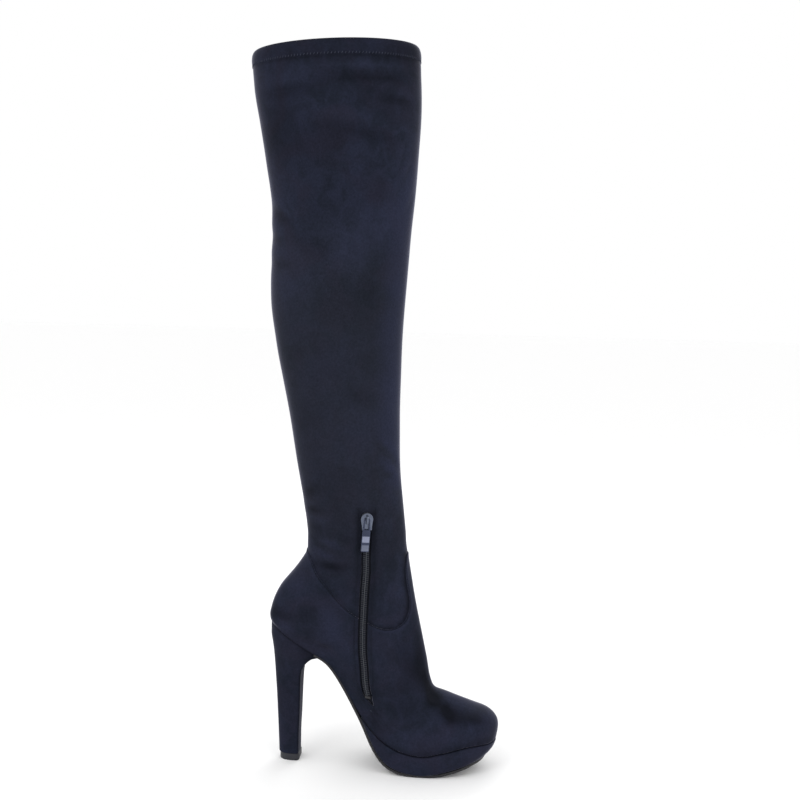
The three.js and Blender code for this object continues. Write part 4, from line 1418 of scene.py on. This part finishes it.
def nap_group():
    """Brushed nap: wide soft clouds where the fibres lie one way or the other, a fine grain, a faded
    stretch between two heights, and painted shade and painted highlight from the shading attribute"""
    group, given, made = new_group(
        "nap",
        {"Position": ("vector", None),
         "Painted shading and tone": ("value", 0.0),
         "Colour": ("colour", (0.02, 0.022, 0.037, 1)),
         "Light tone and painted highlight colour": ("colour", (0.03, 0.034, 0.055, 1)),
         "Shaded colour": ("colour", (0.012, 0.013, 0.022, 1)),
         "Painted shade and dark tone colour": ("colour", (0.003, 0.0036, 0.006, 1)),
         "Warm colour": ("colour", (0.016, 0.014, 0.023, 1)),
         "Faded colour": ("colour", (0.016, 0.0165, 0.0235, 1)),
         "Faded from": ("value", 0.2),
         "Faded to": ("value", 0.5),
         "Cloud depth": ("value", 0.8),
         "Cloud scale": ("value", 11.0),
         "Stroke scale": ("value", 70.0),
         "Warm scale": ("value", 24.0),
         "Grain scale": ("value", 520.0),
         "Fibre scale": ("value", 1900.0)},
        {"Colour": "colour", "Height": "value", "Roughness": "value"})
    place = given["Position"]
    tall = vector_maths(group, "MULTIPLY", place, 1, (1.0, 1.0, 0.6))
    clouds = noise(group, tall, given["Cloud scale"], 4.0, 0.5, 0.6)
    strokes = noise(group, place, given["Stroke scale"], 4.0, 0.55, 0.8)
    warmth = noise(group, place, given["Warm scale"], 3.0, 0.55, 1.2)
    grain = noise(group, place, given["Grain scale"], 2.0, 0.6)
    fibres = noise(group, place, given["Fibre scale"], 2.0, 0.7)
    mixed = weighted(group, clouds, 0.66, strokes, 0.34)
    light = remap(group, mixed, 0.48, 0.64, 0.0, given["Cloud depth"])
    dark = remap(group, mixed, 0.5, 0.37, 0.0, given["Cloud depth"])
    warm = remap(group, warmth, 0.45, 0.68, 0.0, 0.6)
    split = group.nodes.new("ShaderNodeSeparateXYZ")
    group.links.new(place, split.inputs[0])
    above = maths(group, "SUBTRACT", split.outputs["Z"], given["Faded from"])
    below = maths(group, "SUBTRACT", given["Faded to"], split.outputs["Z"])
    faded = remap(group, maths(group, "MINIMUM", above, below), -0.03, 0.06, 0.0, 0.5)
    # Painted highlight where the shading attribute is below zero, painted shade where it is above
    light_tone_and_painted_highlight = remap(group, maths(group, "MULTIPLY", given["Painted shading and tone"], -1.0), 0.0, 1.0)
    painted_shading_and_tone = remap(group, given["Painted shading and tone"], 0.0, 1.0, 0.0, 0.85)
    colour = given["Colour"]
    for share, name in ((light, "Light tone and painted highlight colour"), (dark, "Shaded colour"), (warm, "Warm colour"),
                        (faded, "Faded colour"), (light_tone_and_painted_highlight, "Light tone and painted highlight colour"), (painted_shading_and_tone, "Painted shade and dark tone colour")):
        colour = mix_colours(group, share, colour, given[name])
    speckle = maths(group, "ADD", remap(group, grain, 0.3, 0.7, 0.86, 1.14),
                    remap(group, fibres, 0.3, 0.7, -0.1, 0.1))
    feed(group, vector_maths(group, "SCALE", colour, "Scale", speckle), made["Colour"])
    feed(group, weighted(group, fibres, 0.5, grain, 0.8), made["Height"])
    feed(group, remap(group, mixed, 0.35, 0.65, 0.95, 0.8), made["Roughness"])
    return group


def grain_group():
    """Fine grain with a little wear: a lighter, rougher patch here and there"""
    group, given, made = new_group(
        "grain",
        {"Position": ("vector", None),
         "Colour": ("colour", (0.02, 0.02, 0.02, 1)),
         "Worn colour": ("colour", (0.05, 0.05, 0.05, 1)),
         "Grain scale": ("value", 900.0),
         "Patch scale": ("value", 60.0),
         "Roughness low": ("value", 0.4),
         "Roughness high": ("value", 0.6)},
        {"Colour": "colour", "Height": "value", "Roughness": "value"})
    grain = noise(group, given["Position"], given["Grain scale"], 3.0, 0.6)
    patches = noise(group, given["Position"], given["Patch scale"], 5.0, 0.65, 0.6)
    worn = remap(group, patches, 0.52, 0.75)
    feed(group, mix_colours(group, worn, given["Colour"], given["Worn colour"]), made["Colour"])
    feed(group, grain, made["Height"])
    rough = remap(group, patches, 0.3, 0.7, given["Roughness low"], given["Roughness high"])
    feed(group, rough, made["Roughness"])
    return group


def weave_group():
    """Woven tape: threads across and along, with painted shade in the hollows between them"""
    group, given, made = new_group(
        "weave",
        {"Position": ("vector", None),
         "Colour": ("colour", (0.02, 0.02, 0.03, 1)),
         "Hollow shade colour": ("colour", (0.006, 0.006, 0.01, 1)),
         "Threads per metre": ("value", 1600.0)},
        {"Colour": "colour", "Height": "value"})
    scaled = vector_maths(group, "SCALE", given["Position"], "Scale", given["Threads per metre"])
    split = group.nodes.new("ShaderNodeSeparateXYZ")
    group.links.new(scaled, split.inputs[0])
    across = maths(group, "SINE", maths(group, "MULTIPLY", split.outputs["X"], math.pi))
    up = maths(group, "SINE", maths(group, "MULTIPLY", split.outputs["Z"], math.pi))
    crossing = maths(group, "ABSOLUTE", maths(group, "MULTIPLY", across, up))
    feed(group, mix_colours(group, crossing, given["Hollow shade colour"], given["Colour"]), made["Colour"])
    feed(group, crossing, made["Height"])
    return group


groups = {"nap": nap_group(), "grain": grain_group(), "weave": weave_group()}


def new_material(name, group, bump, distance, values, sockets):
    """Material whose pattern comes from a group on the object's own coordinates. Sockets holds what
    is the same all over the surface."""
    material = bpy.data.materials.new(name)
    material.use_nodes = True
    nodes, links = material.node_tree.nodes, material.node_tree.links
    shader = nodes["Principled BSDF"]
    place = nodes.new("ShaderNodeTexCoord")
    pattern = nodes.new("ShaderNodeGroup")
    pattern.node_tree = groups[group]
    links.new(place.outputs["Object"], pattern.inputs["Position"])
    # The attribute of painted shade and painted highlight feeds the pattern
    if "Painted shading and tone" in pattern.inputs:
        painted_shading_and_tone = nodes.new("ShaderNodeAttribute")
        painted_shading_and_tone.attribute_name = "painted_shading_and_tone"
        links.new(painted_shading_and_tone.outputs["Fac"], pattern.inputs["Painted shading and tone"])
    for key, value in values.items():
        pattern.inputs[key].default_value = value
    links.new(pattern.outputs["Colour"], shader.inputs["Base Color"])
    if "Roughness" in pattern.outputs:
        links.new(pattern.outputs["Roughness"], shader.inputs["Roughness"])
    relief = nodes.new("ShaderNodeBump")
    relief.inputs["Strength"].default_value = bump
    relief.inputs["Distance"].default_value = distance
    links.new(pattern.outputs["Height"], relief.inputs["Height"])
    links.new(relief.outputs["Normal"], shader.inputs["Normal"])
    for key, value in sockets.items():
        shader.inputs[key].default_value = value
    return material


# Suede colours: the light one gives both the nap's light clouds and the painted highlight
SUEDE = (0.0122, 0.0148, 0.0262, 1)
SUEDE_LIGHT_TONE_AND_HIGHLIGHT = (0.0185, 0.0215, 0.0425, 1)
SUEDE_SHADED = (0.0076, 0.0098, 0.0158, 1)
SUEDE_WARM = (0.0165, 0.0158, 0.0285, 1)
SUEDE_FADED = (0.0138, 0.0156, 0.0222, 1)
SUEDE_COLOURS = {"Colour": SUEDE, "Light tone and painted highlight colour": SUEDE_LIGHT_TONE_AND_HIGHLIGHT, "Shaded colour": SUEDE_SHADED,
                 "Warm colour": SUEDE_WARM, "Faded colour": SUEDE_FADED}

materials = {
    "suede": new_material(
        "suede", "nap", 0.25, 0.0003, SUEDE_COLOURS,
        {"Sheen Weight": 0.42, "Sheen Roughness": 0.26, "Sheen Tint": (0.8, 0.8, 1.0, 1),
         "Specular IOR Level": 0.05}),
    "heel_suede": new_material(
        "heel_suede", "nap", 0.25, 0.0003, SUEDE_COLOURS,
        {"Sheen Weight": 0.14, "Sheen Roughness": 0.3, "Sheen Tint": (0.8, 0.8, 1.0, 1),
         "Specular IOR Level": 0.04}),
    "lining": new_material(
        "lining", "nap", 0.2, 0.0003,
        {"Colour": (0.016, 0.016, 0.019, 1), "Light tone and painted highlight colour": (0.022, 0.022, 0.026, 1),
         "Shaded colour": (0.011, 0.011, 0.013, 1), "Warm colour": (0.017, 0.0165, 0.018, 1),
         "Faded colour": (0.015, 0.015, 0.018, 1),
         "Cloud scale": 30.0, "Grain scale": 900.0},
        {"Specular IOR Level": 0.2}),
    "sock": new_material(
        "sock", "grain", 0.25, 0.0003,
        {"Colour": (0.024, 0.024, 0.03, 1), "Worn colour": (0.032, 0.032, 0.038, 1), "Grain scale": 1100.0,
         "Roughness low": 0.7, "Roughness high": 0.85},
        {"Specular IOR Level": 0.3}),
    "rubber": new_material(
        "rubber", "grain", 0.3, 0.0003,
        {"Colour": (0.012, 0.012, 0.015, 1), "Worn colour": (0.022, 0.022, 0.025, 1), "Grain scale": 700.0,
         "Roughness low": 0.5, "Roughness high": 0.68},
        {"Specular IOR Level": 0.4}),
    "top_piece": new_material(
        "top_piece", "grain", 0.25, 0.0003,
        {"Colour": (0.017, 0.018, 0.024, 1), "Worn colour": (0.028, 0.029, 0.036, 1), "Grain scale": 800.0,
         "Roughness low": 0.42, "Roughness high": 0.6},
        {"Specular IOR Level": 0.35}),
    "tape": new_material(
        "tape", "weave", 0.6, 0.0003,
        {"Colour": (0.016, 0.018, 0.03, 1), "Hollow shade colour": (0.006, 0.007, 0.011, 1)},
        {"Roughness": 0.85, "Specular IOR Level": 0.2}),
    "thread": new_material(
        "thread", "weave", 0.5, 0.0002,
        {"Colour": (0.0085, 0.0105, 0.0185, 1), "Hollow shade colour": (0.005, 0.006, 0.01, 1),
         "Threads per metre": 3200.0},
        {"Roughness": 0.8, "Specular IOR Level": 0.08}),
    "hem_thread": new_material(
        "hem_thread", "weave", 0.5, 0.0002,
        {"Colour": (0.042, 0.05, 0.085, 1), "Hollow shade colour": (0.02, 0.024, 0.04, 1),
         "Threads per metre": 3200.0},
        {"Roughness": 0.55, "Specular IOR Level": 0.25}),
    "seam_thread": new_material(
        "seam_thread", "weave", 0.5, 0.0002,
        {"Colour": (0.007, 0.0085, 0.014, 1), "Hollow shade colour": (0.003, 0.0035, 0.006, 1),
         "Threads per metre": 3200.0},
        {"Roughness": 0.85, "Specular IOR Level": 0.05}),
    "coil": new_material(
        "coil", "grain", 0.1, 0.0002,
        {"Colour": (0.027, 0.031, 0.04, 1), "Worn colour": (0.042, 0.047, 0.058, 1), "Grain scale": 1500.0,
         "Roughness low": 0.3, "Roughness high": 0.45},
        {"Specular IOR Level": 0.4}),
    # Lighter heads: partly a painted highlight along the coil's ridge
    "coil_heads_painted_highlight": new_material(
        "coil_heads_painted_highlight", "grain", 0.1, 0.0002,
        {"Colour": (0.052, 0.058, 0.07, 1), "Worn colour": (0.08, 0.086, 0.1, 1), "Grain scale": 1500.0,
         "Roughness low": 0.3, "Roughness high": 0.45},
        {"Specular IOR Level": 0.5}),
    "metal": new_material(
        "navy_metal", "grain", 0.08, 0.0002,
        {"Colour": (0.035, 0.043, 0.078, 1), "Worn colour": (0.06, 0.07, 0.11, 1), "Grain scale": 1400.0,
         "Roughness low": 0.22, "Roughness high": 0.36},
        {"Metallic": 0.9, "Coat Weight": 0.25, "Coat Roughness": 0.2}),
    "slider_metal": new_material(
        "slider_metal", "grain", 0.08, 0.0002,
        {"Colour": (0.1, 0.115, 0.16, 1), "Worn colour": (0.16, 0.18, 0.23, 1), "Grain scale": 1400.0,
         "Roughness low": 0.2, "Roughness high": 0.34},
        {"Metallic": 0.95, "Coat Weight": 0.2, "Coat Roughness": 0.15}),
    # Brighter metals of the tab's bands, their colours partly a painted reflection
    "bright_band_painted_reflection": new_material(
        "bright_band_painted_reflection", "grain", 0.08, 0.0002,
        {"Colour": (0.22, 0.24, 0.33, 1), "Worn colour": (0.28, 0.3, 0.38, 1), "Grain scale": 1400.0,
         "Roughness low": 0.3, "Roughness high": 0.42},
        {"Metallic": 0.95, "Coat Weight": 0.2, "Coat Roughness": 0.15}),
    "dim_band_painted_reflection": new_material(
        "dim_band_painted_reflection", "grain", 0.08, 0.0002,
        {"Colour": (0.13, 0.145, 0.2, 1), "Worn colour": (0.17, 0.185, 0.24, 1), "Grain scale": 1400.0,
         "Roughness low": 0.34, "Roughness high": 0.46},
        {"Metallic": 0.9, "Coat Weight": 0.1, "Coat Roughness": 0.25}),
}


def give_material(node, material):
    slots = frame["nodes"][node].data.materials
    slots.clear()
    slots.append(material)


FLOOR_SIZE = 30

# Place, target and size of the lights in metres, their power in watts
LIGHTS = [
    {"name": "key", "place": (-0.9, -1.5, 1.5), "target": (0, 0, 0.35), "size": 1.2, "watts": 9},
    {"name": "fill", "place": (1.3, -1.0, 0.9), "target": (0, 0, 0.3), "size": 1.2, "watts": 4},
    {"name": "back", "place": (0.3, 1.6, 1.2), "target": (0, 0, 0.4), "size": 1.2, "watts": 7},
]

# The camera as the photograph gives it: millimetres and degrees
CAMERA_SPOT = (94.9, -1197.8, 446.0)
CAMERA_YAW = 3.5
CAMERA_PITCH = 4.6
CAMERA_ROLL = 1.5
CAMERA_LENS = 57.45
SENSOR_WIDTH = 36


def make_stage():
    """A pale floor under a white studio"""
    bpy.ops.mesh.primitive_plane_add(size=FLOOR_SIZE, location=(0, 0, 0))
    floor = bpy.context.object
    floor.name = "floor"
    material = bpy.data.materials.new("pale_floor")
    material.use_nodes = True
    shader = material.node_tree.nodes["Principled BSDF"]
    shader.inputs["Base Color"].default_value = (0.99, 0.99, 0.99, 1)
    shader.inputs["Roughness"].default_value = 0.9
    floor.data.materials.append(material)
    world = bpy.data.worlds.new("studio")
    world.use_nodes = True
    backdrop = world.node_tree.nodes["Background"]
    backdrop.inputs["Color"].default_value = (1, 1, 1, 1)
    backdrop.inputs["Strength"].default_value = 1.0
    bpy.context.scene.world = world
    bpy.context.scene.view_settings.view_transform = "Standard"


def add_light(name, place, target, size, watts):
    light = bpy.data.lights.new(name, "AREA")
    light.shape = "DISK"
    light.size = size
    light.energy = watts
    lamp = bpy.data.objects.new(name, light)
    lamp.location = place
    lamp.rotation_euler = (Vector(target) - Vector(place)).to_track_quat("-Z", "Y").to_euler()
    bpy.context.scene.collection.objects.link(lamp)


def make_camera():
    yaw, pitch, roll = (math.radians(a) for a in (CAMERA_YAW, CAMERA_PITCH, CAMERA_ROLL))
    level = Vector((-math.sin(yaw), math.cos(yaw), 0))
    ahead = level * math.cos(pitch) - Vector((0, 0, 1)) * math.sin(pitch)
    right = Vector((math.cos(yaw), math.sin(yaw), 0))
    up = right.cross(ahead)
    side = right * math.cos(roll) + up * math.sin(roll)
    top = up * math.cos(roll) - right * math.sin(roll)
    camera = bpy.data.cameras.new("camera")
    camera.lens = CAMERA_LENS
    camera.sensor_width = SENSOR_WIDTH
    holder = bpy.data.objects.new("camera", camera)
    place = Matrix((side, top, -ahead)).transposed().to_4x4()
    place.translation = Vector(CAMERA_SPOT) * MM
    holder.matrix_world = place
    bpy.context.scene.collection.objects.link(holder)
    bpy.context.scene.camera = holder


make_camera()
make_stage()
for row in LIGHTS:
    add_light(**row)

make_shaft()
make_upper()
make_heel()
make_platform()
make_outsole()
make_bevelled("heel_tip", "heel_top_piece", "boot", "top_piece", materials["top_piece"], 0.7)
make_bevelled("zip_slider", "slider", "boot", "navy_metal", materials["slider_metal"], 0.22)
make_pull_tab()
make_bevelled("zip_stop", "stop", "boot", "navy_metal", materials["rubber"], 0.3)
make_coil()
make_zip_core()
make_hem_stitches()
make_tack()
make_zip_stitches()
make_seam_stitches()
give_material("insole", materials["sock"])
give_material("zip_tape", materials["tape"])
